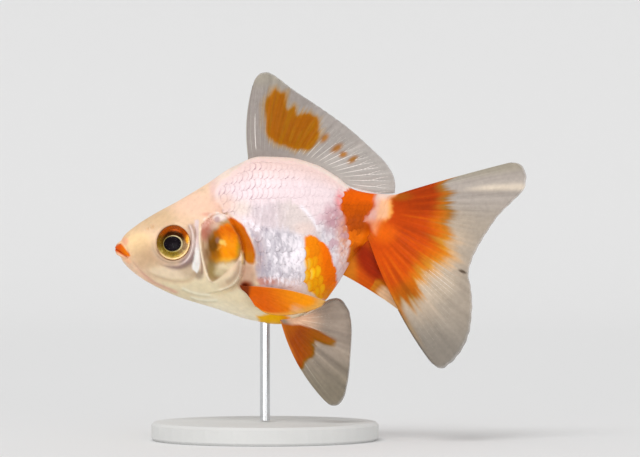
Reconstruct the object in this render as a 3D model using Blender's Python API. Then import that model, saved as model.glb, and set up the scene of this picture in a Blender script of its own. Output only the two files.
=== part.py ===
"""A life-size fantail goldfish, held as if swimming by a plain display stand.

The fish faces -X with its left side towards -Y.  It is modelled in its own
coordinates, in millimetres: x runs back from the tip of the snout, z up from
the height of the mouth, and y across.  An empty then carries it above the stand,
so that the world origin lies on the floor under the middle of the whole part.
"""

import math

import bmesh
import bpy
from mathutils import Vector

MM = 0.001

# ---------------------------------------------------------------- driving sizes
MIDDLE_X = 45.1  # half way from the snout to the tip of the upper tail lobe
MOUTH_HEIGHT = 42.0  # mouth above the floor
GAP = 0.3  # clearance left where two solids meet

# Outlines of the body: height of the back and of the belly, half the width and
# the height of the widest point, each against x.
BACK_POINTS = (
    (-1, -0.4), (0, 0.9), (4.2, 5.0), (8, 7.5), (14, 10.8), (20, 14.4), (26, 18.3), (32, 20.5),
    (38, 20.3), (44, 18.8), (49, 16.0), (53, 13.1), (58, 12.2), (64, 11.9),
)
BELLY_POINTS = (
    (-1, 0.2), (0, -1.0), (4.2, -5.3), (8, -7.8), (14, -10.6), (22, -13.1), (30, -15.7),
    (36, -16.6), (41, -15.5), (45, -12.8), (49, -7.8), (53, -1.4), (56, 1.2), (64, 1.6),
)
HALF_WIDTH_POINTS = (
    (-1, 1.0), (0, 1.6), (4.2, 3.6), (8, 4.9), (13, 6.1), (20, 8.0), (27, 9.6),
    (34, 10.4), (41, 9.5), (46, 7.2), (51, 4.5), (55, 3.1), (60, 2.2), (64, 1.8),
)
WIDEST_POINTS = (
    (-1, -0.2), (4.2, -0.3), (14, -0.8), (30, -1.4), (40, 0.2), (50, 5.2), (57, 6.6), (64, 6.8),
)
UPPER_ROUNDNESS = 1.85  # superellipse powers: under 2 is a keel, over 2 is a barrel
LOWER_ROUNDNESS = 2.15

# Mouth: a slit that runs back and down from the tip of the snout.
MOUTH_HALF_WIDTH = 2.3
MOUTH_REACH = 2.9  # how far back its corners lie
MOUTH_FRONT_Z = 0.1
MOUTH_DROP = 2.0  # how far its corners lie below the front
LIP_SWELL = 0.42
SNOUT_SWELL = 0.5
SNOUT_END = 4.2  # where the snout becomes plain body sections

# Cuts between head, trunk and tail stem.
GILL_X = 25.4  # head ends here at its top and bottom
GILL_BOW = 3.0  # and this much further back at half height
STEM_X = 53.4
STEM_END = 58.2
STEM_LEAN = 0.56  # the end of the stem slopes back towards the top

AROUND = 28  # points round a body section

EYE_CENTRE = (12.9, 4.05, 1.45)
EYE_RADIUS = 3.85
EYE_HALF_DEPTH = 2.75

# The gill cover from its upper rear corner round the hinge line at its front to its lower rear
# corner, as (x, z). Its back follows the end of the head, so the outline runs past that.
GILL_COVER_OUTLINE = (
    (30.5, 7.2), (22.0, 7.0), (18.9, 5.2), (18.6, 0.0), (20.3, -5.8), (22.3, -8.0), (30.5, -8.2),
)
GILL_COVER_MIDDLE = (24.0, -0.5)
GILL_COVER_INNER_Y = 5.6  # its inner face
GILL_COVER_OUTER_Y = 14.0  # past the widest part of the head

# Fins in the side view, as (x, z): the root where each leaves the body, and the margin that its
# rays reach, both from the leading ray to the trailing one.
DORSAL_ROOT_X = (29.4, 52.2)
DORSAL_MARGIN = (
    (30.3, 36.6), (32.4, 39.0), (35.3, 38.2), (39.2, 35.2), (45.6, 31.1),
    (51.6, 27.0), (57.6, 21.9), (61.0, 16.8), (61.6, 12.7),
)
TAIL_ROOT = ((61.9, 11.3), (60.4, 8.2), (58.5, 4.8), (56.2, 1.2))
TAIL_MARGIN = (
    (87.2, 19.0), (90.0, 17.9), (90.3, 14.9), (87.9, 11.2), (83.0, 6.6), (79.3, 0.2),
    (77.8, -5.4), (78.5, -12.0), (77.7, -18.6), (74.9, -24.2), (72.3, -26.0), (70.4, -25.2),
)
ANAL_ROOT_X = (50.3, 53.0)
ANAL_MARGIN = ((63.6, -14.3), (64.9, -13.4), (64.4, -10.6), (62.6, -7.0), (60.2, -4.2))
PELVIC_ROOT = ((36.7, -16.0), (38.8, -15.6), (40.8, -14.9))
PELVIC_MARGIN = (
    (46.6, -33.5), (48.3, -34.2), (50.1, -32.7), (51.1, -28.5), (51.7, -22.0), (52.0, -16.5),
    (51.0, -12.6), (48.4, -10.8),
)
PECTORAL_ROOT = ((28.9, -8.1), (29.2, -9.2), (29.7, -10.2))
PECTORAL_MARGIN = (
    (46.4, -11.3), (45.2, -13.0), (41.2, -14.9), (37.2, -15.7), (33.6, -15.2), (31.0, -13.0),
)
ROOT_LIFT = 0.65  # the paired fins stand this far off the skin at their roots
FIN_EDGE = 0.5  # thickness of a fin at its margin, between the rays
RAY_RIDGE = 0.22  # how much thicker a ray is than the web beside it
SCALLOP = 0.25  # how far the web is drawn in between two ray tips

STAND_X = 33.0  # the rod stands under this x of the fish
ROD_RADIUS = 1.1
ROD_SOCKET = 3.5  # how deep the rod sits in the belly
BASE_RADIUS = 25.0
BASE_THICKNESS = 4.0
BASE_CHAMFER = 0.6


# ------------------------------------------------------------------ small maths
def profile(points):
    """A smooth curve z(x) through the points, which doesn't overshoot between them."""
    xs = [p[0] for p in points]
    zs = [p[1] for p in points]
    slopes = [(zs[i + 1] - zs[i]) / (xs[i + 1] - xs[i]) for i in range(len(xs) - 1)]
    tangents = [slopes[0]]
    for before, after in zip(slopes, slopes[1:]):
        tangents.append(0 if before * after <= 0 else 2 * before * after / (before + after))
    tangents.append(slopes[-1])

    def value(x):
        x = min(max(x, xs[0]), xs[-1])
        i = max(k for k in range(len(xs) - 1) if xs[k] <= x)
        h = xs[i + 1] - xs[i]
        t = (x - xs[i]) / h
        return (
            zs[i] * (1 + 2 * t) * (1 - t) ** 2
            + zs[i + 1] * t * t * (3 - 2 * t)
            + h * t * (1 - t) * (tangents[i] * (1 - t) - tangents[i + 1] * t)
        )

    return value


def path(points):
    """A smooth curve P(u), u from 0 to 1, through the points and spaced by their distances."""
    nodes = [Vector(p) for p in points]
    knots = [0.0]
    for a, b in zip(nodes, nodes[1:]):
        knots.append(knots[-1] + (b - a).length)

    def value(u):
        s = min(max(u, 0.0), 1.0) * knots[-1]
        i = max(k for k in range(len(nodes) - 1) if knots[k] <= s + 1e-9)
        h = knots[i + 1] - knots[i]
        t = (s - knots[i]) / h

        def tangent(k):
            lo, hi = max(k - 1, 0), min(k + 1, len(nodes) - 1)
            return (nodes[hi] - nodes[lo]) / (knots[hi] - knots[lo])

        return (
            nodes[i] * ((1 + 2 * t) * (1 - t) ** 2)
            + nodes[i + 1] * (t * t * (3 - 2 * t))
            + (tangent(i) * (1 - t) - tangent(i + 1) * t) * (h * t * (1 - t))
        )

    return value


def smoothstep(low, high, x):
    t = min(max((x - low) / (high - low), 0.0), 1.0)
    return t * t * (3 - 2 * t)


back = profile(BACK_POINTS)
belly = profile(BELLY_POINTS)
half_width = profile(HALF_WIDTH_POINTS)
widest = profile(WIDEST_POINTS)


# ------------------------------------------------------------- the body's skin
def body_y(x, z):
    """Half the body's width at x and height z, or 0 outside its outline."""
    middle = widest(x)
    if z >= middle:
        power, reach = UPPER_ROUNDNESS, back(x) - middle
    else:
        power, reach = LOWER_ROUNDNESS, middle - belly(x)
    share = abs(z - middle) / reach
    return 0.0 if share >= 1 else half_width(x) * (1 - share**power) ** (1 / power)


def section_point(x, angle):
    """The skin at x. angle 0 is the back, a quarter turn the left side, a half turn the belly."""
    up = math.cos(angle)
    power = UPPER_ROUNDNESS if up > 0 else LOWER_ROUNDNESS
    reach = back(x) - widest(x) if up > 0 else widest(x) - belly(x)
    z = widest(x) + math.copysign(abs(up) ** (2 / power), up) * reach
    across = math.sin(angle)
    y = -math.copysign(abs(across) ** (2 / power), across) * half_width(x)
    return Vector((x, y, z))


def ring(x, bow=0.0, lean=0.0, narrow=1.0):
    """A closed row of skin points at x. It bows back at half height, and leans back at its top."""
    row = []
    for k in range(AROUND):
        angle = 2 * math.pi * k / AROUND
        at = x
        for _ in range(12):
            point = section_point(at, angle)
            at = x + bow * math.sin(angle) ** 2 + lean * (point.z - widest(x))
        point.y *= narrow
        row.append(point)
    return row


def mouth_point(angle, opening):
    """The edge of the mouth: the upper lip's where cos(angle) is positive, the lower lip's below."""
    corner = math.sin(angle) ** 2
    return Vector((
        MOUTH_REACH * corner,
        -MOUTH_HALF_WIDTH * math.sin(angle),
        MOUTH_FRONT_Z - MOUTH_DROP * corner + opening * math.cos(angle),
    ))


def snout_ring(share, opening, lip):
    """A row between the mouth, at share 0, and the first plain section, at share 1."""
    row = []
    first = ring(SNOUT_END)
    for k in range(AROUND):
        angle = 2 * math.pi * k / AROUND
        point = mouth_point(angle, opening).lerp(first[k], share)
        out = Vector((-0.45, -math.sin(angle), math.cos(angle))).normalized()
        row.append(point + out * (lip * LIP_SWELL + SNOUT_SWELL * math.sin(math.pi * share)))
    return row


def throat_ring():
    """The closed inside of the mouth, a little behind its edge."""
    inside = Vector((0.9, 0, 0))
    return [mouth_point(2 * math.pi * k / AROUND, 0.06) * 0.96 + inside for k in range(AROUND)]


# --------------------------------------------------------------- mesh building
def new_object(name, bm, material, parent):
    """Turns a shape in millimetres into an object in metres, with its faces pointing out."""
    mesh = bpy.data.meshes.new(name)
    bm.normal_update()
    bmesh.ops.recalc_face_normals(bm, faces=bm.faces)
    bmesh.ops.scale(bm, vec=(MM, MM, MM), verts=bm.verts)
    bm.to_mesh(mesh)
    bm.free()
    mesh.materials.append(material)
    mesh.shade_smooth()
    mesh.set_sharp_from_angle(angle=math.radians(40))
    obj = bpy.data.objects.new(name, mesh)
    bpy.context.scene.collection.objects.link(obj)
    obj.parent = parent
    return obj


def loft(rows, first_cap, last_cap):
    """A closed solid through the rows. A cap joins each point to its twin across: "sides" pairs
    left with right, and "lips" pairs above with below."""
    bm = bmesh.new()
    grid = [[bm.verts.new(point) for point in row] for row in rows]
    count = len(rows[0])
    for one, two in zip(grid, grid[1:]):
        for k in range(count):
            after = (k + 1) % count
            bm.faces.new((one[k], one[after], two[after], two[k]))
    for row, cap in ((grid[0], first_cap), (grid[-1], last_cap)):
        half = count // 2
        start = 0 if cap == "sides" else -half // 2
        for k in range(half):
            corners = (row[start + k], row[start + k + 1], row[start - k - 1], row[start - k])
            bm.faces.new(tuple(dict.fromkeys(corners)))
    return bm


def ellipsoid(centre, radii, segments=16, rings=10):
    bm = bmesh.new()
    bmesh.ops.create_uvsphere(bm, u_segments=segments, v_segments=rings, radius=1.0)
    for v in bm.verts:
        v.co = Vector(c + r * s for c, r, s in zip(centre, radii, (v.co.x, v.co.z, v.co.y)))
    return bm


def cylinder(centre, radius, low, high, segments=16):
    bm = bmesh.new()
    bmesh.ops.create_cone(
        bm, cap_ends=True, segments=segments, radius1=radius, radius2=radius, depth=high - low
    )
    bmesh.ops.translate(bm, verts=bm.verts, vec=(*centre, (low + high) / 2))
    return bm


def cut(obj, bm, operation="DIFFERENCE"):
    """Cuts obj with the shape in bm, which stays in the scene as a hidden helper."""
    tool = new_object(f"{obj.name}_tool", bm, obj.data.materials[0], obj.parent)
    tool.hide_render = True
    tool.display_type = "WIRE"
    modifier = obj.modifiers.new("cut", "BOOLEAN")
    modifier.operation = operation
    modifier.object = tool
    modifier.solver = "EXACT"


def material(name, colour, roughness, metallic=0.0, alpha=1.0):
    mat = bpy.data.materials.new(name)
    mat.use_nodes = True
    shader = mat.node_tree.nodes["Principled BSDF"]
    shader.inputs["Base Color"].default_value = (*colour, 1.0)
    shader.inputs["Roughness"].default_value = roughness
    shader.inputs["Metallic"].default_value = metallic
    shader.inputs["Alpha"].default_value = alpha
    return mat


# ------------------------------------------------------------------- the parts
def make_head(skin, parent):
    rows = [
        throat_ring(),
        snout_ring(0.0, 0.16, 0.0),
        snout_ring(0.1, 0.25, 1.0),
        snout_ring(0.3, 0.0, 0.0),
        snout_ring(0.65, 0.0, 0.0),
        ring(SNOUT_END),
    ]
    steps = 8
    for step in range(1, steps + 1):
        share = step / steps
        x = SNOUT_END + (GILL_X - SNOUT_END) * share
        rows.append(ring(x, bow=GILL_BOW * smoothstep(0.4, 1, share)))
    head = new_object("head", loft(rows, "lips", "sides"), skin, parent)
    x, y, z = EYE_CENTRE
    for side in (-1, 1):
        radii = (EYE_RADIUS + GAP, EYE_HALF_DEPTH + GAP, EYE_RADIUS + GAP)
        cut(head, ellipsoid((x, side * y, z), radii))


def gill_block(side, inner, spread):
    """A block with the gill cover's outline, let out by `spread`, from y = inner outwards."""
    outline = path(GILL_COVER_OUTLINE)
    middle = Vector(GILL_COVER_MIDDLE)
    steps = 14
    loop = []
    for k in range(steps + 1):
        point = outline(k / steps)
        loop.append(point + (point - middle).normalized() * spread)
    bm = bmesh.new()
    rows = []
    for y in (inner, GILL_COVER_OUTER_Y):
        rows.append([bm.verts.new((point.x, side * y, point.y)) for point in loop])
    bm.faces.new(rows[0])
    bm.faces.new(reversed(rows[1]))
    for k in range(len(loop)):
        after = (k + 1) % len(loop)
        bm.faces.new((rows[0][k], rows[1][k], rows[1][after], rows[0][after]))
    return bm


def make_gill_cover(name, side, skin, parent, head):
    """The gill cover is the outer part of the head inside its outline, and the head keeps the rest."""
    cover = new_object(name, bmesh_of(head), skin, parent)
    cut(cover, gill_block(side, GILL_COVER_INNER_Y, 0.0), "INTERSECT")
    cut(head, gill_block(side, GILL_COVER_INNER_Y - GAP, GAP))


def bmesh_of(obj):
    """A copy of the object's shape before its cuts, in millimetres again."""
    bm = bmesh.new()
    bm.from_mesh(obj.data)
    bmesh.ops.scale(bm, vec=(1 / MM, 1 / MM, 1 / MM), verts=bm.verts)
    return bm


def make_trunk(skin, parent):
    rows = []
    steps = 14
    for step in range(steps + 1):
        share = step / steps
        x = GILL_X + GAP + (STEM_X - GILL_X - GAP) * share
        rows.append(ring(x, bow=GILL_BOW * (1 - smoothstep(0, 0.45, share))))
    trunk = new_object("trunk", loft(rows, "sides", "sides"), skin, parent)
    low = belly(STAND_X) - ROD_SOCKET
    high = belly(STAND_X) + ROD_SOCKET + GAP
    cut(trunk, cylinder((STAND_X, 0), ROD_RADIUS + GAP, low, high))


def make_tail_stem(skin, parent):
    rows = []
    steps = 4
    for step in range(steps + 1):
        share = step / steps
        x = STEM_X + GAP + (STEM_END - STEM_X - GAP) * share
        rows.append(ring(x, lean=STEM_LEAN * share))
    for narrow, beyond in ((0.84, 0.45), (0.5, 0.8), (0.2, 0.9)):
        rows.append(ring(STEM_END + beyond, lean=STEM_LEAN, narrow=narrow))
    new_object("tail_stem", loft(rows, "sides", "sides"), skin, parent)


def make_eye(name, side, mat, parent):
    x, y, z = EYE_CENTRE
    radii = (EYE_RADIUS, EYE_HALF_DEPTH, EYE_RADIUS)
    new_object(name, ellipsoid((x, side * y, z), radii), mat, parent)


def make_fin(name, sheet, mat, parent, rays, rows, root_thickness):
    """A closed fin on sheet(u, v): u runs across the rays and v along them from root to tip. Every
    other column is a ray, which stands proud of the web on both faces."""
    bm = bmesh.new()
    columns = 2 * rays - 1
    top = []
    under = []
    for i in range(columns):
        u = i / (columns - 1)
        is_ray = i % 2 == 0
        length = (sheet(u, 1) - sheet(u, 0)).length
        reach = 1.0 if is_ray else 1.0 - SCALLOP / length
        top.append([])
        under.append([])
        for j in range(rows):
            v = reach * j / (rows - 1)
            thickness = root_thickness + (FIN_EDGE - root_thickness) * v**0.7
            if is_ray:
                thickness += RAY_RIDGE * (1 - v * v)
            point = sheet(u, v)
            out = sheet_normal(sheet, u, v) * (thickness / 2)
            top[-1].append(bm.verts.new(point + out))
            under[-1].append(bm.verts.new(point - out))
    for i in range(columns - 1):
        for j in range(rows - 1):
            bm.faces.new((top[i][j], top[i + 1][j], top[i + 1][j + 1], top[i][j + 1]))
            bm.faces.new((under[i][j], under[i][j + 1], under[i + 1][j + 1], under[i + 1][j]))
    rim = [(i, 0) for i in range(columns)]
    rim += [(columns - 1, j) for j in range(1, rows)]
    rim += [(i, rows - 1) for i in reversed(range(columns - 1))]
    rim += [(0, j) for j in reversed(range(1, rows - 1))]
    for (a, b), (c, d) in zip(rim, rim[1:] + rim[:1]):
        bm.faces.new((top[a][b], under[a][b], under[c][d], top[c][d]))
    new_object(name, bm, mat, parent)


def sheet_normal(sheet, u, v):
    step = 0.01
    along = sheet(u, min(v + step, 1)) - sheet(u, max(v - step, 0))
    across = sheet(min(u + step, 1), v) - sheet(max(u - step, 0), v)
    return along.cross(across).normalized()


def fin_sheet(root, margin, bow, y):
    """A fin sheet from two curves in the side view, root(u) and margin(u), as (x, z). bow(u) curves
    the rays towards the fin's leading edge, and y(u, v) sets the sheet across."""

    def sheet(u, v):
        start = root(u)
        end = margin(u)
        chord = (end - start).normalized()
        lift = bow(u) * 4 * v * (1 - v)
        x, z = start.lerp(end, v)
        return Vector((x - chord.y * lift, y(u, v), z + chord.x * lift))

    return sheet


def make_dorsal_fin(mat, parent):
    first, last = DORSAL_ROOT_X
    wave_height = 0.7

    def root(u):
        x = first + (last - first) * u
        return Vector((x, back(x) + GAP))

    def bow(u):
        return 0.8 * (1 - u) ** 2 - 0.2 * u

    def wave(u, v):
        return wave_height * v * v * math.sin(2.6 * math.pi * u + 0.6)

    sheet = fin_sheet(root, path(DORSAL_MARGIN), bow, wave)
    make_fin("dorsal_fin", sheet, mat, parent, rays=18, rows=7, root_thickness=1.1)


def make_tail_fin(name, side, mat, parent):
    """One of the two fins of the double tail. They meet at the upper edge and flare apart below."""
    upper_flare = 1.6
    lower_flare = 8.6
    wave_height = 0.5

    def bow(u):
        return 0.2 - 1.4 * u**3

    def flare(u, v):
        spread = 1.0 + 1.3 * u + v**1.15 * (upper_flare + lower_flare * u**1.3)
        return side * (spread + wave_height * v * v * math.sin(5 * math.pi * u))

    sheet = fin_sheet(path(TAIL_ROOT), path(TAIL_MARGIN), bow, flare)
    make_fin(name, sheet, mat, parent, rays=17, rows=8, root_thickness=0.95)


def make_anal_fin(name, side, mat, parent):
    first, last = ANAL_ROOT_X
    start_y = 0.75
    splay = 0.9

    def root(u):
        x = first + (last - first) * u
        return Vector((x, belly(x) - ROOT_LIFT + 0.2 * u))

    sheet = fin_sheet(
        root, path(ANAL_MARGIN), lambda u: 0.7 * (1 - u), lambda u, v: side * (start_y + splay * v)
    )
    make_fin(name, sheet, mat, parent, rays=6, rows=6, root_thickness=0.7)


def make_pelvic_fin(name, side, mat, parent):
    root = path(PELVIC_ROOT)
    splay = 3.4
    rear_splay = 2.2  # the trailing rays lie this much further out

    def bow(u):
        return -1.7 * (1 - u) ** 2

    def y(u, v):
        start = root(u)
        return side * (body_y(start.x, start.y) + ROOT_LIFT + 0.1 + v * (splay + rear_splay * u))

    sheet = fin_sheet(root, path(PELVIC_MARGIN), bow, y)
    make_fin(name, sheet, mat, parent, rays=9, rows=7, root_thickness=0.95)


def make_pectoral_fin(name, side, mat, parent):
    root = path(PECTORAL_ROOT)
    splay = 1.9

    def bow(u):
        return 0.9 * (1 - u)

    def y(u, v):
        start = root(u)
        stand_off = body_y(start.x, start.y) + ROOT_LIFT
        return side * (stand_off + splay * v**0.7 * (1 - 0.35 * u))

    sheet = fin_sheet(root, path(PECTORAL_MARGIN), bow, y)
    make_fin(name, sheet, mat, parent, rays=12, rows=6, root_thickness=0.9)


def make_stand_rod(mat, parent):
    low = BASE_THICKNESS + GAP - MOUTH_HEIGHT
    high = belly(STAND_X) + ROD_SOCKET
    new_object("stand_rod", cylinder((STAND_X, 0), ROD_RADIUS, low, high), mat, parent)


def make_stand_base(mat):
    """A turned disc under the rod, resting on the floor."""
    bm = bmesh.new()
    outline = (
        (BASE_RADIUS - BASE_CHAMFER, 0.0),
        (BASE_RADIUS, BASE_CHAMFER),
        (BASE_RADIUS, BASE_THICKNESS - BASE_CHAMFER),
        (BASE_RADIUS - BASE_CHAMFER, BASE_THICKNESS),
    )
    segments = 48
    turn = [2 * math.pi * k / segments for k in range(segments)]
    rings = []
    for radius, z in outline:
        rings.append([bm.verts.new((radius * math.cos(a), radius * math.sin(a), z)) for a in turn])
    for one, two in zip(rings, rings[1:]):
        for k in range(segments):
            after = (k + 1) % segments
            bm.faces.new((one[k], one[after], two[after], two[k]))
    bm.faces.new(reversed(rings[0]))
    bm.faces.new(rings[-1])
    base = new_object("stand_base", bm, mat, None)
    base.location.x = (STAND_X - MIDDLE_X) * MM


def main():
    for obj in list(bpy.data.objects):
        bpy.data.objects.remove(obj)

    skin = material("skin", (0.90, 0.76, 0.73), 0.32)
    gill_skin = material("gill_skin", (0.86, 0.72, 0.50), 0.28, 0.2)
    orange_fin = material("orange_fin", (0.90, 0.27, 0.02), 0.35)
    clear_fin = material("clear_fin", (0.66, 0.63, 0.60), 0.35, alpha=0.8)
    eye = material("eye", (0.10, 0.07, 0.03), 0.08)
    steel = material("steel", (0.62, 0.63, 0.64), 0.3, 1.0)
    grey_paint = material("grey_paint", (0.30, 0.31, 0.32), 0.5)

    fish = bpy.data.objects.new("fish", None)
    bpy.context.scene.collection.objects.link(fish)
    fish.location = Vector((-MIDDLE_X, 0, MOUTH_HEIGHT)) * MM

    make_head(skin, fish)
    head = bpy.data.objects["head"]
    make_trunk(skin, fish)
    make_tail_stem(skin, fish)
    make_dorsal_fin(clear_fin, fish)
    for word, side in (("left", -1), ("right", 1)):
        make_gill_cover(f"gill_cover_{word}", side, gill_skin, fish, head)
        make_eye(f"eye_{word}", side, eye, fish)
        make_pectoral_fin(f"pectoral_fin_{word}", side, orange_fin, fish)
        make_pelvic_fin(f"pelvic_fin_{word}", side, clear_fin, fish)
        make_anal_fin(f"anal_fin_{word}", side, orange_fin, fish)
        make_tail_fin(f"tail_fin_{word}", side, orange_fin, fish)
    make_stand_rod(steel, fish)
    make_stand_base(grey_paint)


main()
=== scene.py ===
"""The looks of a life-size fantail goldfish on its display stand.

The fish is made in its own coordinates, in millimetres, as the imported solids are: x runs back from
the tip of the snout, z up from the height of the mouth, and y across, with the left side at -y.
`world` carries those points into the frame.
"""
import math

import bpy
import numpy as np
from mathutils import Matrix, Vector

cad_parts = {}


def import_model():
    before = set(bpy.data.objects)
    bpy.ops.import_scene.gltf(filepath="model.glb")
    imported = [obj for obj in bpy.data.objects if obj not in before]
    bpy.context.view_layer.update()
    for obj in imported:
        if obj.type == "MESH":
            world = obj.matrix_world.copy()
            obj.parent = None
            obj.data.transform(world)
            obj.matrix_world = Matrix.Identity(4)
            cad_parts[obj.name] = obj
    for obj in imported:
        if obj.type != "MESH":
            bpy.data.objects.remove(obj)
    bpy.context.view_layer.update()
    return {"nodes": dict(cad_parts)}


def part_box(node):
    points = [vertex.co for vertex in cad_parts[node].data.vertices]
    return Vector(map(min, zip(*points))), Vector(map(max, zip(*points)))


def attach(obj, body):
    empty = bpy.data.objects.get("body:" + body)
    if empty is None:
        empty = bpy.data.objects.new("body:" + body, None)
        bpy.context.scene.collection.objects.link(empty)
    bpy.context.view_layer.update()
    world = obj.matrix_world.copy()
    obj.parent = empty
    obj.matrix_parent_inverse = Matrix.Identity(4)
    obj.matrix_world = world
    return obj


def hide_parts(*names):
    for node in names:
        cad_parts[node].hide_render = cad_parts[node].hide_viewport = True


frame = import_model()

MM = 0.001
LEFT, RIGHT = -1, 1
SIDES = (("left", LEFT), ("right", RIGHT))

# --------------------------------------------------------------------- body sizes
# Outlines of the body: height of the back and of the belly, half the width and the height of the
# widest point, each against x.
BACK_POINTS = (
    (-1, -0.4), (0, 0.9), (4.2, 5.0), (8, 7.5), (14, 10.8), (20, 14.4), (26, 18.3), (32, 20.5),
    (38, 20.3), (44, 18.8), (49, 16.0), (53, 13.1), (58, 12.2), (64, 11.9),
)
BELLY_POINTS = (
    (-1, 0.2), (0, -1.0), (4.2, -5.3), (8, -7.8), (14, -10.6), (22, -13.1), (30, -15.7), (36, -16.6),
    (41, -15.5), (45, -12.8), (49, -7.8), (53, -1.4), (56, 1.2), (64, 1.6),
)
HALF_WIDTH_POINTS = (
    (-1, 1.0), (0, 1.6), (4.2, 3.6), (8, 4.9), (13, 6.1), (20, 8.0), (27, 9.6), (34, 10.4), (41, 9.5),
    (46, 7.2), (51, 4.5), (55, 3.1), (60, 2.2), (64, 1.8),
)
WIDEST_POINTS = (
    (-1, -0.2), (4.2, -0.3), (14, -0.8), (30, -1.4), (40, 0.2), (50, 5.2), (57, 6.6), (64, 6.8),
)
UPPER_ROUNDNESS = 1.85
LOWER_ROUNDNESS = 2.15

MOUTH_HALF_WIDTH = 2.3
MOUTH_REACH = 2.9
MOUTH_FRONT_Z = 0.1
MOUTH_DROP = 2.0
LIP_SWELL = 0.36
SNOUT_SWELL = 0.5
SNOUT_END = 4.2
STEM_START = 53.4
STEM_END = 58.2
STEM_LEAN = 0.56
STEM_TAPER = 0.6  # width left at the end of the stem, where the tail comes out of it

EYE_X, EYE_Z = 13.0, 1.45
EYE_RADIUS = 3.78

HEAD_INSET = 0.05  # depth of the skin under the solids' surface where it is bare
SCALED_INSET = 0.34  # and where scales lie on it
MAX_LIFT = 0.15  # roughly how far a scale's free edge stands above the skin

ORIGIN = np.array((
    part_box("head")[0][0], 0.0, (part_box("eye_left")[0][2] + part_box("eye_left")[1][2]) / 2 - EYE_Z * MM,
))


def world(points):
    """Points of the fish, in millimetres, as places in the frame, in metres."""
    return ORIGIN + np.asarray(points, float) * MM


# ------------------------------------------------------------------------- maths
def smoothstep(low, high, x):
    """0 up to low and 1 from high, rising smoothly between. low may be the larger."""
    t = np.clip((x - low) / (high - low), 0.0, 1.0)
    return t * t * (3 - 2 * t)


def bump(distance, width):
    """1 at distance 0, falling away smoothly to either side."""
    return np.exp(-((distance / width) ** 2))


def mix(a, b, amount):
    """a turning into b, which may be numbers, or colours or points with one amount for each."""
    amount = np.asarray(amount)
    if 3 in np.shape(a)[-1:] + np.shape(b)[-1:] and amount.shape[-1:] != (1,):
        amount = amount[..., None]
    return a + (b - a) * amount


def profile(points):
    """A smooth curve z(x) through the points, which doesn't overshoot between them."""
    xs, zs = np.array(points, float).T
    slopes = np.diff(zs) / np.diff(xs)
    before, after = slopes[:-1], slopes[1:]
    same_way = before * after > 0
    inner = np.where(same_way, 2 * before * after / np.where(same_way, before + after, 1), 0)
    tangents = np.concatenate((slopes[:1], inner, slopes[-1:]))

    def value(x):
        x = np.clip(x, xs[0], xs[-1])
        i = np.clip(np.searchsorted(xs, x, "right") - 1, 0, len(xs) - 2)
        h = xs[i + 1] - xs[i]
        t = (x - xs[i]) / h
        return (
            zs[i] * (1 + 2 * t) * (1 - t) ** 2
            + zs[i + 1] * t * t * (3 - 2 * t)
            + h * t * (1 - t) * (tangents[i] * (1 - t) - tangents[i + 1] * t)
        )

    return value


def path(points):
    """A smooth curve P(u), u from 0 to 1, through the points and spaced by their distances."""
    nodes = np.array(points, float)
    knots = np.concatenate(([0.0], np.cumsum(np.linalg.norm(np.diff(nodes, axis=0), axis=1))))
    index = np.arange(len(nodes))
    before, after = np.maximum(index - 1, 0), np.minimum(index + 1, len(nodes) - 1)
    tangents = (nodes[after] - nodes[before]) / (knots[after] - knots[before])[:, None]

    def value(u):
        s = np.clip(u, 0.0, 1.0) * knots[-1]
        i = np.clip(np.searchsorted(knots, s + 1e-9, "right") - 1, 0, len(nodes) - 2)
        h = (knots[i + 1] - knots[i])[..., None]
        t = (s - knots[i])[..., None] / h
        return (
            nodes[i] * ((1 + 2 * t) * (1 - t) ** 2)
            + nodes[i + 1] * (t * t * (3 - 2 * t))
            + (tangents[i] * (1 - t) - tangents[i + 1] * t) * (h * t * (1 - t))
        )

    return value


def noise(x, y, z=0.0, seed=0):
    """Smooth repeatable noise from -1 to 1, with cells one unit across."""
    place = np.stack(np.broadcast_arrays(x, y, z), -1).astype(float)
    cell = np.floor(place).astype(np.int64)
    t = place - cell
    t = t * t * (3 - 2 * t)
    total = 0.0
    for corner in np.ndindex(2, 2, 2):
        key = (cell + corner) @ np.array((73856093, 19349663, 83492791)) + seed * 1013904223
        key = (key ^ (key >> 13)) * 1274126177 & 0x7FFFFFFF
        key = (key ^ (key >> 16)) * 668265263 & 0x7FFFFFFF
        share = np.prod(np.where(corner, t, 1 - t), axis=-1)
        total = total + share * ((key >> 7 & 0xFFFF) / 0x8000 - 1)
    return total


def cloud(x, y, z=0.0, seed=0, octaves=3):
    """Noise with finer noise on it, from about -1 to 1."""
    total = 0.0
    for octave in range(octaves):
        size = 2.0**octave
        total = total + noise(x * size, y * size, np.asarray(z) * size, seed + octave) / size
    return total * 0.6


def line_distance(x, z, corners):
    """Distance from each point to a line of straight runs, and the share along it of the nearest place."""
    corners = np.asarray(corners, float)
    best = np.full(np.shape(x), 1e9)
    share = np.zeros(np.shape(x))
    last = len(corners) - 1
    for i in range(last):
        (ax, az), (bx, bz) = corners[i], corners[i + 1]
        length = (bx - ax) ** 2 + (bz - az) ** 2
        t = np.clip(((x - ax) * (bx - ax) + (z - az) * (bz - az)) / length, 0, 1)
        d = np.hypot(x - ax - t * (bx - ax), z - az - t * (bz - az))
        near = d < best
        best = np.where(near, d, best)
        share = np.where(near, (i + t) / last, share)
    return best, share


def smooth_line(points, steps=40):
    """A smooth curve through the points, as steps short runs."""
    return path(points)(np.linspace(0, 1, steps + 1))


def depth_inside(x, z, outline, steps=60):
    """How far inside a smooth closed outline each point lies. It is negative outside."""
    loop = smooth_line((*outline, outline[0]), steps)
    distance, _ = line_distance(x, z, loop)
    crossings = np.zeros(np.shape(x), int)
    for (ax, az), (bx, bz) in zip(loop, loop[1:]):
        if az != bz:
            crossed = (z < az) != (z < bz)
            crossings += crossed & (x < ax + (z - az) * (bx - ax) / (bz - az))
    return np.where(crossings % 2 == 1, distance, -distance)


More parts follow.
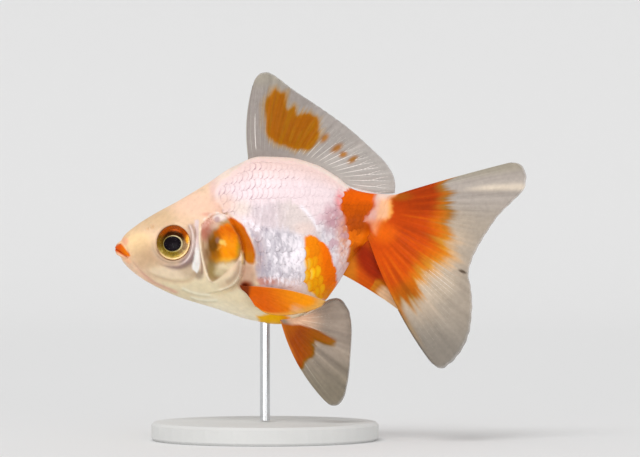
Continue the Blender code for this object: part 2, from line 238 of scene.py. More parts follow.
# ---------------------------------------------------------------------- the body
back = profile(BACK_POINTS)
belly = profile(BELLY_POINTS)
half_width = profile(HALF_WIDTH_POINTS)
widest = profile(WIDEST_POINTS)


def section_point(x, angle):
    """The body at x. angle 0 is the back, a quarter turn the left side, a half turn the belly."""
    up, across = np.cos(angle), np.sin(angle)
    power = np.where(up > 0, UPPER_ROUNDNESS, LOWER_ROUNDNESS)
    reach = np.where(up > 0, back(x) - widest(x), widest(x) - belly(x))
    z = widest(x) + np.sign(up) * np.abs(up) ** (2 / power) * reach
    y = -np.sign(across) * np.abs(across) ** (2 / power) * half_width(x)
    return np.stack((x + 0 * z, y, z), -1)


def body_y(x, z):
    """Half the body's width at x and height z, or 0 outside its outline."""
    middle = widest(x)
    power = np.where(z >= middle, UPPER_ROUNDNESS, LOWER_ROUNDNESS)
    reach = np.where(z >= middle, back(x) - middle, middle - belly(x))
    share = np.clip(np.abs(z - middle) / reach, 0, 1)
    return half_width(x) * (1 - share**power) ** (1 / power)


def ring(x, angles, lean=0.0, narrow=1.0):
    """A closed row of body points at x, which leans back at its top."""
    at = np.full(len(angles), float(x))
    for _ in range(12):
        points = section_point(at, angles)
        at = x + lean * (points[:, 2] - widest(at))
    points[:, 1] *= narrow
    return points


def mouth_point(angles, opening):
    """The edge of the mouth: the upper lip's where cos(angle) is positive, the lower lip's below."""
    corner = np.sin(angles) ** 2
    x = MOUTH_REACH * corner
    y = -MOUTH_HALF_WIDTH * np.sin(angles)
    z = MOUTH_FRONT_Z - MOUTH_DROP * corner + opening * np.cos(angles)
    return np.stack((x, y, z), -1)


def snout_ring(share, angles):
    """A row between the mouth, at share 0, and the first plain section, at share 1."""
    opening = mix(0.1, 0.0, smoothstep(0.0, 0.3, share))
    swell = LIP_SWELL * (0.75 - 0.25 * np.cos(angles))[:, None]
    lip = swell * bump(share - 0.12, 0.09) - 0.16 * bump(share - 0.33, 0.07)
    points = mix(mouth_point(angles, opening), ring(SNOUT_END, angles), np.full(len(angles), share))
    out = np.stack((np.full(len(angles), -0.45), -np.sin(angles), np.cos(angles)), -1)
    out /= np.linalg.norm(out, axis=1, keepdims=True)
    return points + out * (lip + SNOUT_SWELL * math.sin(math.pi * share))


def surface_normals(grid):
    """Outward normals of a grid of rows that close round, each from head to tail."""
    along = np.gradient(grid, axis=0)
    around = np.roll(grid, -1, axis=1) - np.roll(grid, 1, axis=1)
    normals = np.cross(around, along)
    return normals / np.maximum(np.linalg.norm(normals, axis=-1, keepdims=True), 1e-9)


# ------------------------------------------------------------- lines of the head
# Lines and outlines in the side view, as (x, z).
GILL_FRONT = (
    (19.3, 5.6), (18.9, 3.2), (19.0, 0.8), (19.55, -2.3), (20.2, -4.7), (20.9, -6.6), (22.0, -7.4),
)
GILL_EDGE = (
    (21.0, 7.3), (22.8, 8.0), (24.5, 7.5), (25.5, 6.0), (27.0, 3.5), (28.0, 0.9), (28.2, -1.6),
    (28.1, -4.0), (27.6, -6.0), (26.6, -7.6), (25.0, -8.7), (22.4, -9.5), (19.0, -9.8),
)
GILL_PLATE = (
    (19.2, 5.4), (20.9, 7.0), (22.7, 7.8), (24.6, 7.2), (25.5, 5.9), (27.0, 3.5), (28.0, 0.7),
    (27.9, -1.2), (26.3, -3.6), (24.3, -5.4), (22.4, -6.8), (21.2, -7.2), (20.4, -5.0), (19.6, -2.3),
    (18.9, 0.8), (18.8, 3.2),
)
LOWER_PLATE_SHADE = ((28.0, -2.2), (27.3, -4.6), (26.2, -6.4), (24.4, -7.6))
LOWER_PLATE_EDGE = ((27.9, -2.6), (27.7, -5.2), (26.6, -7.2), (25.0, -8.3), (22.6, -9.0))
EYE_FOLD = (
    (16.3, 5.9), (17.2, 4.0), (17.5, 1.9), (17.2, -0.2), (16.3, -2.0), (14.9, -3.2), (12.6, -3.7),
)
EYE_SHADE = (
    (17.5, 2.2), (17.5, 0.6), (17.1, -1.6), (16.0, -3.2), (14.4, -4.0), (12.6, -4.0), (10.8, -3.6),
    (9.2, -2.6),
)
CHEEK_FOLD = (
    (17.7, 6.6), (17.9, 4.6), (18.4, 1.9), (17.9, -1.0), (16.6, -3.2), (14.6, -4.2), (12.4, -4.2),
    (9.6, -3.4),
)
CHEEK_EDGE = (
    (6.9, -4.0), (7.4, -5.2), (9.9, -6.5), (13.8, -7.3), (16.6, -6.9), (17.8, -5.4), (18.4, -3.4),
)
SILVER_BAND = ((18.7, 6.0), (18.6, 3.5), (18.4, 1.8), (18.2, -1.8), (18.1, -4.4))
SILVER_BAND_AREA = (
    (17.6, 6.4), (18.6, 6.4), (18.75, 4.6), (18.85, 2.6), (19.0, 1.0), (18.95, -0.8), (18.9, -3.4),
    (18.2, -5.2), (17.2, -4.2), (17.45, -2.2), (17.75, -0.2), (17.95, 1.8), (18.05, 3.6), (17.7, 4.8),
)
THROAT_CREASES = (
    ((14.6, -8.4), (17.6, -9.6), (21.4, -10.2)),
    ((16.4, -10.4), (19.4, -11.2), (23.0, -11.2)),
)
JAW_LINE = ((3.4, -2.2), (5.2, -4.6), (8.2, -7.2), (11.2, -8.6), (14.5, -9.9))
GILL_GLINT = ((23.3, 2.0), (24.1, 1.4), (24.8, 0.8))
GILL_BUMP = (22.8, 6.4)
NOSTRIL = (7.9, 4.7)
SHOULDER_BAND = (
    (25.0, 6.6), (25.2, 7.3), (26.0, 7.0), (27.6, 5.9), (28.7, 4.7), (29.6, 3.1), (30.4, 1.4),
    (30.9, -0.3), (31.0, -1.9), (30.7, -3.4), (29.6, -3.2), (28.5, -2.2), (28.2, -0.5), (28.0, 0.9),
    (27.1, 3.4), (25.6, 5.6),
)
COVER_FRONT = ((14.0, -7.0), (15.0, 3.0), (18.0, 7.5))  # with GILL_EDGE, the gill cover's outline
BEHIND_EYE_SHADE = ((17.9, 5.2), (18.0, 3.4), (17.8, 1.2))
BAND_SHADE = ((19.05, 1.8), (19.15, -1.0), (19.3, -3.2), (19.4, -5.8))
PLATE_TOP_HIGHLIGHT = ((19.4, 6.2), (21.0, 7.5), (22.8, 8.0), (24.7, 7.4))
PLATE_FRONT_SHADE = ((19.5, 0.2), (20.1, -2.6), (20.8, -5.4))
PLATE_REAR_SHADE = ((27.2, 3.0), (27.8, 0.8), (27.8, -1.2), (27.0, -2.8))
PLATE_LOWER_GLINT = ((22.7, -0.4), (23.2, 0.2), (23.9, 0.8))
UPPER_GAP_SHADE = ((25.9, 5.6), (27.6, 2.6), (28.4, -0.6))
LOWER_GAP_SHADE = ((28.4, -0.6), (28.6, -2.2), (28.4, -3.6))
UPPER_LIP = ((-0.3, 0.5), (0.5, 0.9), (1.5, 1.2))
# Folds of the face: each line's rise and width, and the shares of its length where it is full and fades.
FACE_FOLDS = (
    (EYE_FOLD, 0.26, 0.28, 0.12, 0.85),
    (CHEEK_FOLD, -0.30, 0.30, 0.12, 0.85),
    (SILVER_BAND, 0.20, 0.42, 0.12, 0.85),
    (CHEEK_EDGE, -0.22, 0.45, 0.3, 1.0),
    (JAW_LINE, -0.20, 0.30, 0.0, 0.7),
)
SOCKET_DEPTH = 1.3
EYELID_HEIGHT = 0.16
GAP_DEPTH = 0.62  # of the groove behind the gill cover
RELIEF_END = 36  # the skin behind it has no forms of its own

# The front limit of the scales, from the back down to the belly.
SCALE_START = (
    (28.8, 21.5), (28.2, 19.3), (26.0, 17.0), (23.4, 15.0), (22.0, 12.8), (22.2, 10.4), (24.0, 8.8),
    (26.4, 7.0), (28.6, 4.7), (30.2, 1.7), (31.0, -1.6), (31.0, -5.2), (31.4, -7.2), (33.5, -9.0),
    (37.5, -10.6), (41.0, -12.6), (43.0, -17.0),
)


def bare_ridge(x):
    """Height of the smooth band of skin without scales along the foot of the fin on the back."""
    return mix(0.3, 0.95, smoothstep(30, 50, x))


def behind_scale_start(x, z):
    """How far behind the front limit of the scales each point lies."""
    line = smooth_line(SCALE_START)
    distance, _ = line_distance(x, z, line)
    order = np.argsort(line[:, 1])
    limit = np.interp(z, line[order, 1], line[order, 0])
    return np.where(x > limit, distance, -distance)


def fold(x, z, line, rise, width, full=0.0, fading=1.0):
    """A raised or sunk line. It is full from one share of its length and fades from another."""
    distance, share = line_distance(x, z, smooth_line(line))
    height = rise * bump(distance, width)
    if full > 0:
        height = height * smoothstep(0, full, share)
    if fading < 1:
        height = height * smoothstep(1, fading, share)
    return height


def eye_relief(form, x, z):
    """The eye's socket and the skin round it, with the folds of the cheek and the line of the jaw."""
    from_eye = np.hypot(x - EYE_X, (z - EYE_Z) * 1.02)
    form = form - SOCKET_DEPTH * smoothstep(EYE_RADIUS + 0.1, EYE_RADIUS - 0.35, from_eye)
    form = form + EYELID_HEIGHT * bump(from_eye - EYE_RADIUS - 0.42, 0.26)
    low_rear = smoothstep(-6, 1, x - EYE_X - z + EYE_Z)
    form = form - EYELID_HEIGHT * bump(from_eye - EYE_RADIUS - 0.95, 0.26) * low_rear
    for line in FACE_FOLDS:
        form = form + fold(x, z, *line)
    return form


def gill_relief(form, x, z):
    """The gill cover: its raised plate, its free rear edge, and the ridges along them."""
    inside = depth_inside(x, z, GILL_PLATE)
    form = form + 0.30 * smoothstep(-0.15, 1.2, inside)
    distance, share = line_distance(x, z, smooth_line(GILL_FRONT))
    form = form + 0.20 * bump(distance, 0.20) * smoothstep(0, 0.15, share)
    form = form - 0.20 * bump(distance - 0.6, 0.3) * (x < 19 - z * 0.1)
    form = form + 0.10 * np.sin(2.2 * x + 0.9 * z) * smoothstep(0.2, 1.5, inside) * (z < 0)

    distance, share = line_distance(x, z, smooth_line(GILL_EDGE))
    cover = depth_inside(x, z, (*GILL_EDGE, *COVER_FRONT), 120)
    signed = np.where(cover > 0, distance, -distance)
    fade = smoothstep(0.02, 0.12, share) * smoothstep(1.0, 0.8, share)
    form = form + (0.16 * bump(signed - 0.28, 0.22) - GAP_DEPTH * bump(signed + 0.30, 0.34)) * fade
    form = form - 0.30 * smoothstep(-2.8, -0.2, signed) * (signed < -0.2) * fade
    form = form + fold(x, z, LOWER_PLATE_EDGE, 0.14, 0.18, 0.2)

    from_bump = np.hypot(x - GILL_BUMP[0], z - GILL_BUMP[1])
    form = form + (0.28 * bump(from_bump, 0.85) - 0.20 * bump(from_bump, 0.35))
    return form + 0.16 * smoothstep(-0.1, 0.7, depth_inside(x, z, SHOULDER_BAND))


def nostril_relief(form, x, z):
    """The nostril: a small pit and a larger one, with a flap of skin between them."""
    front = np.hypot(x - NOSTRIL[0] + 0.62, (z - NOSTRIL[1] + 0.25) * 1.2)
    rear = np.hypot((x - NOSTRIL[0] - 0.42) * 1.15, z - NOSTRIL[1] - 0.15)
    flap = np.hypot((x - NOSTRIL[0] + 0.12) * 2.2, z - NOSTRIL[1])
    form = form - (0.42 * bump(front, 0.28) + 0.55 * bump(rear, 0.36))
    return form + 0.26 * bump(flap, 0.55)


def relief(x, z, y):
    """Height of the skin's own forms over the plain body: folds, plates, ridges and pits."""
    height = np.zeros(np.shape(x))
    head = x < RELIEF_END
    form = np.zeros(np.shape(x[head]))
    for add in (eye_relief, gill_relief, nostril_relief):
        form = add(form, x[head], z[head])
    form = form + 0.05 * cloud(x[head] * 0.55, z[head] * 0.55, y[head] * 0.3, seed=3)
    height[head] = form
    return height * smoothstep(0.6, 2.2, np.abs(y))


# ----------------------------------------------------------------------- colours
def rgb(red, green, blue):
    """A display colour, from 0 to 255, as linear light."""
    c = np.array((red, green, blue)) / 255.0
    return np.where(c <= 0.04045, c / 12.92, ((c + 0.055) / 1.055) ** 2.4)


PEACH = rgb(250, 214, 184)
PALE_PEACH = rgb(250, 226, 210)
SNOUT_CREAM = rgb(253, 216, 166)
CHEEK_EDGE_SHADE = rgb(206, 172, 138)
CREAM = rgb(233, 217, 182)
PINK_WHITE = rgb(247, 226, 229)
BACK_PINK = rgb(246, 216, 210)
BEIGE = rgb(229, 214, 210)
SILVER = rgb(213, 206, 213)
BRIGHT_SILVER = rgb(255, 246, 252)
DARK_SILVER = rgb(178, 168, 180)
MAUVE_PIGMENT_AND_SHADOW = rgb(182, 138, 156)
WHITE = rgb(250, 244, 240)
OCHRE = rgb(202, 132, 28)
FIN_GREY = rgb(166, 156, 150)
FIN_DARK = rgb(138, 130, 120)
RAY_PALE = rgb(250, 242, 236)

# Markings in the side view, as (x, z).
LIP_PATCH = (
    (-0.8, 0.2), (0.5, 0.8), (1.3, 1.2), (2.0, 0.6), (2.6, -0.2), (3.5, -1.5), (2.6, -1.6),
    (1.5, -1.15), (0.4, -0.65), (-0.8, -0.5),
)
STEM_PATCH = (
    (50.4, 12.3), (51.7, 13.4), (57.4, 13.2), (56.8, 10.8), (57.0, 9.5), (56.1, 8.4), (55.2, 7.0),
    (54.6, 6.4), (55.9, 5.1), (56.1, 3.3), (56.8, 2.0), (59.5, 1.0), (60.0, -3.0), (55.0, -4.5),
    (51.2, -3.4), (51.7, -0.2), (51.4, 2.4), (51.2, 4.2), (50.7, 5.6), (50.6, 7.0), (49.9, 7.8),
    (49.7, 10.1),
)
TAIL_BLAZE = (
    (57.4, 12.6), (59.7, 13.0), (61.4, 12.4), (60.5, 11.0), (60.7, 8.8), (59.9, 6.8), (58.5, 5.9),
    (57.9, 4.2), (57.4, 2.9), (56.3, 4.2), (55.9, 5.3), (54.8, 6.4), (55.2, 7.0), (56.1, 8.4),
    (57.0, 9.5), (56.8, 10.8),
)
FLANK_PATCH = (
    (41.9, 2.0), (42.7, 2.9), (44.0, 3.0), (44.9, 2.4), (46.1, 1.4), (47.2, 0.1), (47.9, -1.3),
    (48.4, -3.2), (48.9, -4.6), (49.1, -6.5), (48.5, -8.7), (47.7, -10.3), (46.4, -11.0),
    (45.1, -11.2), (44.0, -10.1), (42.7, -9.0), (42.0, -7.3), (42.0, -4.6), (41.7, -2.4),
    (42.0, -0.2),
)
GILL_PATCH = (
    (25.0, 5.9), (26.2, 4.8), (27.3, 3.1), (27.9, 1.6), (28.1, 0.2), (27.6, -1.0), (26.7, -2.1),
    (24.9, -2.7), (23.1, -2.7), (21.8, -2.1), (21.2, -0.2), (21.2, 1.5), (21.7, 2.9), (22.4, 4.0),
    (23.5, 4.9),
)
BELLY_PATCH = (
    (31.2, -14.6), (34.1, -14.0), (37.2, -14.2), (38.7, -15.2), (37.8, -17.0), (35.2, -17.4),
    (32.0, -16.9),
)
SILVER_AREA = (
    (28.4, 7.0), (30.6, 5.9), (33.2, 4.9), (36.4, 4.0), (41.0, 2.8), (41.8, -1.0), (41.4, -5.0),
    (41.6, -8.0), (38.0, -8.2), (33.0, -7.2), (31.2, -4.6), (31.1, -1.0), (30.0, 2.6), (28.4, 5.0),
)
SMOOTH_AREA = (
    (29.5, 9.6), (33.0, 10.3), (38.5, 10.3), (41.4, 9.3), (43.3, 7.2), (44.7, 4.4), (45.2, 2.6),
    (43.3, 2.9), (41.6, 3.3), (39.0, 3.9), (36.0, 4.7), (32.5, 5.8), (29.6, 7.4),
)
PALE_CHEVRON = ((40.6, 9.9), (42.3, 8.1), (43.5, 6.7), (44.3, 5.4), (45.1, 3.6))
DORSAL_PATCH = (
    (32.9, 31.7), (33.0, 28.4), (33.0, 25.7), (33.7, 24.6), (35.2, 23.3), (37.2, 22.7), (38.7, 22.0),
    (41.4, 21.8), (43.1, 22.0), (44.0, 22.9), (44.7, 24.4), (44.9, 26.2), (44.7, 28.8), (43.3, 29.7),
    (42.0, 30.1), (40.7, 29.7), (40.0, 29.4), (39.6, 31.5), (38.9, 31.0), (38.1, 30.6), (37.8, 31.0),
    (37.6, 33.9), (37.2, 34.8), (36.1, 34.5), (35.4, 35.4), (34.8, 35.0), (34.1, 33.9), (33.4, 33.2),
)
DORSAL_SPOTS = (
    (46.1, 24.4, 1.15, 0.65, 50), (48.8, 22.2, 1.4, 0.7, 35), (50.2, 20.8, 0.9, 0.65, 20),
    (52.3, 19.7, 1.2, 0.6, 35),
)
TAIL_PATCH = (
    (54.0, 17.0), (62.0, 17.5), (73.0, 19.0), (73.7, 12.6), (74.2, 8.0), (74.4, 4.6), (74.0, 1.9),
    (72.6, 0.2), (71.4, -2.0), (70.4, -3.6), (68.6, -5.2), (67.4, -7.0), (66.4, -8.4), (66.8, -10.2),
    (65.8, -11.4), (66.0, -13.4), (64.2, -12.4), (62.8, -12.0), (61.0, -13.0), (54.0, -4.0),
)
PECTORAL_PATCH = (
    (27.0, -7.4), (30.8, -7.8), (36.3, -8.2), (40.2, -9.1), (43.0, -10.1), (44.4, -11.1),
    (44.0, -12.1), (42.6, -12.8), (41.4, -12.4), (39.4, -12.0), (38.6, -12.7), (38.6, -14.0),
    (37.6, -15.0), (36.3, -15.4), (33.0, -15.0), (30.5, -13.4), (27.8, -10.0),
)
PELVIC_PATCH = (
    (36.4, -16.1), (38.6, -16.5), (41.8, -16.6), (44.0, -17.4), (46.2, -18.2), (47.9, -19.1),
    (49.0, -19.9), (48.8, -20.7), (46.4, -20.9), (44.8, -20.4), (43.9, -20.4), (44.4, -21.5),
    (43.9, -23.3), (42.6, -23.9), (42.0, -24.8), (41.4, -26.2), (40.3, -26.6), (38.0, -23.0),
    (36.0, -18.0),
)
VENT_SHADE = (56.0, -3.0)
ANAL_STREAK = ((57.6, -8.2), (60.2, -10.8), (62.6, -13.2))


def paint(colour, new, mask, amount=1.0):
    """The colour with some of a new one over it."""
    return mix(colour, new, np.clip(mask, 0, 1) * amount)


def dim(colour, factor, mask):
    """The colour made darker or, by a factor over 1, lighter where the mask is 1."""
    return mix(colour, colour * factor, mask)


def paint_all(colour, *coats):
    """Paints one coat after another. Each has a colour, a mask and, if it isn't full, an amount."""
    for coat in coats:
        colour = paint(colour, *coat)
    return colour


def spot(x, z, at, radii, soft=0.5):
    """1 in an oval and 0 outside it. soft is the share of the radius over which it fades."""
    distance = np.hypot((x - at[0]) / radii[0], (z - at[1]) / radii[1])
    return smoothstep(1 + soft, 1 - soft, distance)


def patch(x, z, outline, soft=0.25):
    """1 inside a smooth outline and 0 outside it, fading over its edge."""
    return smoothstep(-soft, soft, depth_inside(x, z, outline))


def stroke(x, z, line, width):
    """1 along a line, fading out over its width and at its ends."""
    distance, share = line_distance(x, z, smooth_line(line))
    return bump(distance, width) * smoothstep(0, 0.1, share) * smoothstep(1, 0.9, share)


def height_share(x, z):
    """0 at the belly's outline and 1 at the back's."""
    return (z - belly(x)) / np.maximum(back(x) - belly(x), 1e-6)


def head_ground(x, z, y):
    """The head's tones: peach above, cream below, with a darker brow and cheek, a painted highlight on the
    cheek's bulge, painted shade along its lower edge and painted light on the underside of the breast.
    """
    height = height_share(x, z)
    wave = cloud(x * 0.35, z * 0.35, y * 0.2, seed=11)
    return paint_all(
        mix(PEACH, rgb(240, 205, 170), smoothstep(-0.6, 0.6, wave)),
        (SNOUT_CREAM, spot(x, z, (4.5, 1.2), (4.5, 3.2), 0.6)),
        (rgb(224, 190, 150), smoothstep(0.72, 1.0, height) * smoothstep(14, 5, x), 0.6),
        (rgb(222, 188, 148), spot(x, z, (9.0, 6.8), (5.4, 2.6), 0.6), 0.85),
        (rgb(200, 164, 128), spot(x, z, (8.4, -2.0), (4.6, 3.0), 0.7), 0.8),
        (rgb(252, 206, 180), spot(x, z, (17.8, 9.6), (4.6, 2.6), 0.7), 0.7),
        (CREAM, smoothstep(0.40, 0.16, height) * smoothstep(5, 12, x)),
        # painted highlight: the pale crescent on the bulge of the cheek
        (rgb(236, 213, 182), spot(x, z, (12.4, -5.3), (5.0, 1.3), 0.5)),
        # painted shade along the cheek's lower edge
        (CHEEK_EDGE_SHADE, stroke(x, z, CHEEK_EDGE, 0.55), 0.5),
        # painted light: the underside of the breast made paler, as if lit from below
        (rgb(252, 240, 212), smoothstep(0.13, 0.0, height) * smoothstep(16, 22, x), 0.9),
        (rgb(222, 166, 144), stroke(x, z, JAW_LINE, 0.5) * smoothstep(4.0, 7.0, x), 0.7),
        (rgb(236, 190, 184), spot(x, z, (22.4, 13.4), (1.4, 2.6), 0.6)),
        (PALE_PEACH, smoothstep(23, 28, x + z * 0.25) * (z > 6)),
        (rgb(238, 192, 170), spot(x, z, (23.6, 9.9), (2.4, 2.0), 0.8), 0.85),
        (rgb(226, 212, 200), smoothstep(0.93, 1.0, height) * smoothstep(24, 27, x), 0.8),
        (rgb(226, 150, 128), spot(x, z, (20.6, 7.6), (1.3, 0.4), 0.8), 0.6),
    )


def eye_surround(colour, x, z):
    """The skin round the eye and behind it: a band below the eye, painted shade in its folds and hollows, a
    painted shadow line under the eye, and a light line along the fold behind it.
    """
    from_eye = np.hypot(x - EYE_X, z - EYE_Z)
    below = smoothstep(2.5, -1.5, z - EYE_Z - 0.35 * (x - EYE_X))
    behind = smoothstep(0.5, 3.2, x - EYE_X)
    off_eye = smoothstep(0.3, 0.7, from_eye - EYE_RADIUS)
    rim = bump(from_eye - EYE_RADIUS - 0.08, 0.16) * smoothstep(-0.8, -2.2, z - EYE_Z)
    lower = smoothstep(1.5, -1.5, z)
    return paint_all(
        colour,
        (rgb(204, 176, 150), bump(from_eye - EYE_RADIUS - 0.7, 0.6) * below, 0.8),
        # painted shade in the hollow below and behind the eye
        (rgb(158, 136, 132), spot(x, z, (16.4, -2.4), (1.9, 1.5), 0.6) * off_eye, 0.9),
        # painted shadow line under the eye's lower edge
        (rgb(150, 112, 84), rim, 0.9),
        # painted shade along the folds behind the eye
        (rgb(166, 132, 126), stroke(x, z, EYE_FOLD, 0.85) * behind, 0.85),
        (rgb(152, 124, 122), stroke(x, z, EYE_SHADE, 0.6) * smoothstep(9.0, 14.0, x), 0.85),
        (rgb(150, 128, 118), stroke(x, z, BEHIND_EYE_SHADE, 0.24), 0.8),
        (rgb(250, 230, 220), stroke(x, z, EYE_FOLD, 0.2) * behind, 0.9),
        # painted shade along the cheek's fold, and below the silver band's lower end
        (rgb(142, 122, 112), stroke(x, z, CHEEK_FOLD, 0.30) * lower * behind, 0.8),
        (rgb(150, 128, 110), spot(x, z, (18.7, -5.6), (0.9, 1.0), 0.6), 0.75),
        (rgb(170, 146, 120), spot(x, z, (16.9, -4.7), (2.4, 1.5), 0.5), 0.5),
    )


def head_colour(x, z, y):
    """Colour of the bare skin of the head and breast."""
    fine = cloud(x * 1.3, z * 1.3, y * 0.6, seed=12)
    colour = eye_surround(head_ground(x, z, y), x, z)
    # painted shadow just below each throat crease, and a painted highlight along it
    for line in THROAT_CREASES:
        colour = paint(colour, rgb(196, 184, 150), stroke(x, z + 0.35, line, 0.28), 0.5)
        colour = paint(colour, rgb(250, 244, 222), stroke(x, z, line, 0.30), 0.6)
    band = smoothstep(-0.18, 0.26, depth_inside(x, z, SILVER_BAND_AREA) + 0.18 * fine)
    colour = paint(colour, mix(rgb(244, 239, 234), rgb(236, 212, 206), smoothstep(-1.0, 2.0, z)), band)
    colour = paint(colour, rgb(146, 116, 100), stroke(x, z, BAND_SHADE, 0.28), 0.85)
    return dim(colour, 0.93, smoothstep(0.0, 0.8, fine))


def gill_colour(colour, x, z):
    """Paints the gill cover, the bands behind it and the root of the front fin, with painted highlights on
    the plate's top, painted shade behind its front ridge and in the groove behind its free edge, and painted
    shadow at the fin's root.
    """
    fine = cloud(x * 1.1, z * 0.8, seed=21)
    plate = smoothstep(-0.1, 0.15, depth_inside(x, z, GILL_PLATE))
    edge = depth_inside(x, z, SHOULDER_BAND)
    halo = smoothstep(-0.5, -0.1, edge) * smoothstep(28, 29, x) * smoothstep(0, 2, z)
    in_band = smoothstep(-0.18, 0.2, edge + 0.15 * fine) * smoothstep(-3.9, -2.7, z)
    band = mix(rgb(200, 114, 4), rgb(200, 98, 0), smoothstep(-2.5, 1.0, z + fine))
    band = mix(band, rgb(218, 106, 6), smoothstep(4.0, 6.0, z + 0.5 * fine))
    rear_edge = mix(rgb(244, 214, 150), rgb(214, 112, 10), smoothstep(-1.6, 0.4, z))
    from_bump = np.hypot(x - GILL_BUMP[0], z - GILL_BUMP[1])
    fin_root = mix(rgb(150, 70, 34), rgb(96, 26, 2), spot(x, z, (28.6, -7.9), (0.8, 0.5), 0.6))
    return paint_all(
        colour,
        (gill_plate_colour(x, z, fine), plate),
        (rgb(168, 142, 120), stroke(x, z, LOWER_PLATE_SHADE, 0.75), 0.8),
        (rgb(206, 178, 146), spot(x, z, (25.2, -8.0), (2.2, 1.2), 0.6), 0.6),
        (rgb(246, 232, 206), stroke(x, z, LOWER_PLATE_EDGE, 0.14)),
        (rgb(255, 236, 208), stroke(x, z, GILL_FRONT, 0.2)),
        # painted shade just behind the ridge at the plate's front
        (rgb(150, 118, 92), stroke(x, z, PLATE_FRONT_SHADE, 0.28), 0.55),
        # painted highlight: a glossy white line along the plate's upper edge
        (WHITE, stroke(x, z, PLATE_TOP_HIGHLIGHT, 0.2) * smoothstep(-0.5, 0.3, fine), 0.85),
        (rgb(196, 154, 130), spot(x, z, (29.4, -5.6), (1.8, 2.8), 0.5), 0.85),
        (rgb(250, 222, 206), halo, 0.5),
        (band, in_band),
        (rear_edge, stroke(x, z, GILL_EDGE[2:8], 0.15), 0.9),
        # painted shade in the groove behind the gill cover's free edge
        (rgb(140, 66, 2), stroke(x, z, UPPER_GAP_SHADE, 0.18), 0.7),
        (rgb(116, 70, 30), stroke(x, z, LOWER_GAP_SHADE, 0.26), 0.7),
        # painted highlight on the bump at the plate's top
        (rgb(252, 232, 226), spot(x, z, (23.3, 6.9), (1.4, 0.8), 0.5), 0.9),
        (rgb(190, 156, 156), smoothstep(0.85, 0.4, from_bump), 0.85),
        # dark red at the front fin's root, partly pigment and partly painted shadow
        (fin_root, spot(x, z, (28.9, -7.9), (1.5, 1.0), 0.6)),
    )


def gill_plate_colour(x, z, fine):
    """The plate of the gill cover: pink above, orange in the middle, cream and olive below, with a painted
    glint and painted shade along its rear edge.
    """
    turn = np.arctan2(z - 7.0, x - 20.0)
    streak = noise(turn * 16, np.hypot(x - 20, z - 7) * 0.5, seed=22)
    pink = mix(rgb(204, 136, 116), rgb(236, 186, 170), smoothstep(-0.4, 0.5, fine + 0.5 * streak))
    edge = depth_inside(x, z, GILL_PATCH) + 0.35 * fine + 0.25 * streak
    orange = mix(rgb(253, 150, 4), rgb(222, 102, 2), smoothstep(1.2, 4.4, z + 0.6 * fine))
    orange = mix(orange, rgb(232, 128, 6), smoothstep(0.1, 0.7, streak) * 0.6)
    orange = mix(orange, rgb(214, 150, 14), smoothstep(26.4, 27.5, x) * smoothstep(2.2, 0.4, z))
    orange = mix(orange, rgb(246, 176, 50), smoothstep(-1.4, -2.4, z))
    glint = np.maximum(stroke(x, z, GILL_GLINT, 0.30), spot(x, z, (23.9, 1.5), (0.7, 0.5), 0.4))
    colour = paint_all(
        mix(rgb(206, 170, 136), rgb(182, 146, 112), smoothstep(-0.5, 0.5, streak)),
        (pink, spot(x, z, (20.6, 5.0), (2.2, 2.6), 0.7)),
        (rgb(184, 112, 92), spot(x, z, (20.2, 3.6), (1.0, 1.6), 0.8), 0.8),
        (rgb(232, 196, 172), spot(x, z, (22.6, 5.0), (1.4, 0.8), 0.6), 0.8),
        (rgb(160, 134, 84), spot(x, z, (21.7, -4.2), (1.4, 2.6), 0.6)),
        (rgb(238, 214, 176), spot(x, z, (24.9, -3.6), (2.2, 1.1), 0.5)),
        (rgb(212, 196, 156), spot(x, z, (23.4, -5.0), (1.2, 0.9), 0.6), 0.8),
        (rgb(186, 140, 60), smoothstep(-0.9, 0.1, edge), 0.7),
        (orange, smoothstep(-0.35, 0.45, edge)),
        (rgb(100, 60, 2), spot(x + 0.3 * streak, z, (21.9, 0.6), (1.5, 3.2), 0.8), 0.95),
        (rgb(168, 100, 10), spot(x, z, (22.3, -1.6), (1.2, 1.0), 0.7), 0.6),
        (rgb(132, 100, 90), spot(x, z, (22.9, 1.9), (0.45, 0.6), 0.6), 0.8),
        # painted highlight: the lower arc of the glint, then the glint itself
        (rgb(246, 170, 70), stroke(x, z, PLATE_LOWER_GLINT, 0.22), 0.4),
        (rgb(255, 218, 110), glint, 0.7),
        # painted shade along the plate's rear edge
        (rgb(150, 96, 34), stroke(x, z, PLATE_REAR_SHADE, 0.45), 0.6),
    )
    return dim(colour, 0.9, smoothstep(0.1, 0.8, -streak) * 0.5)


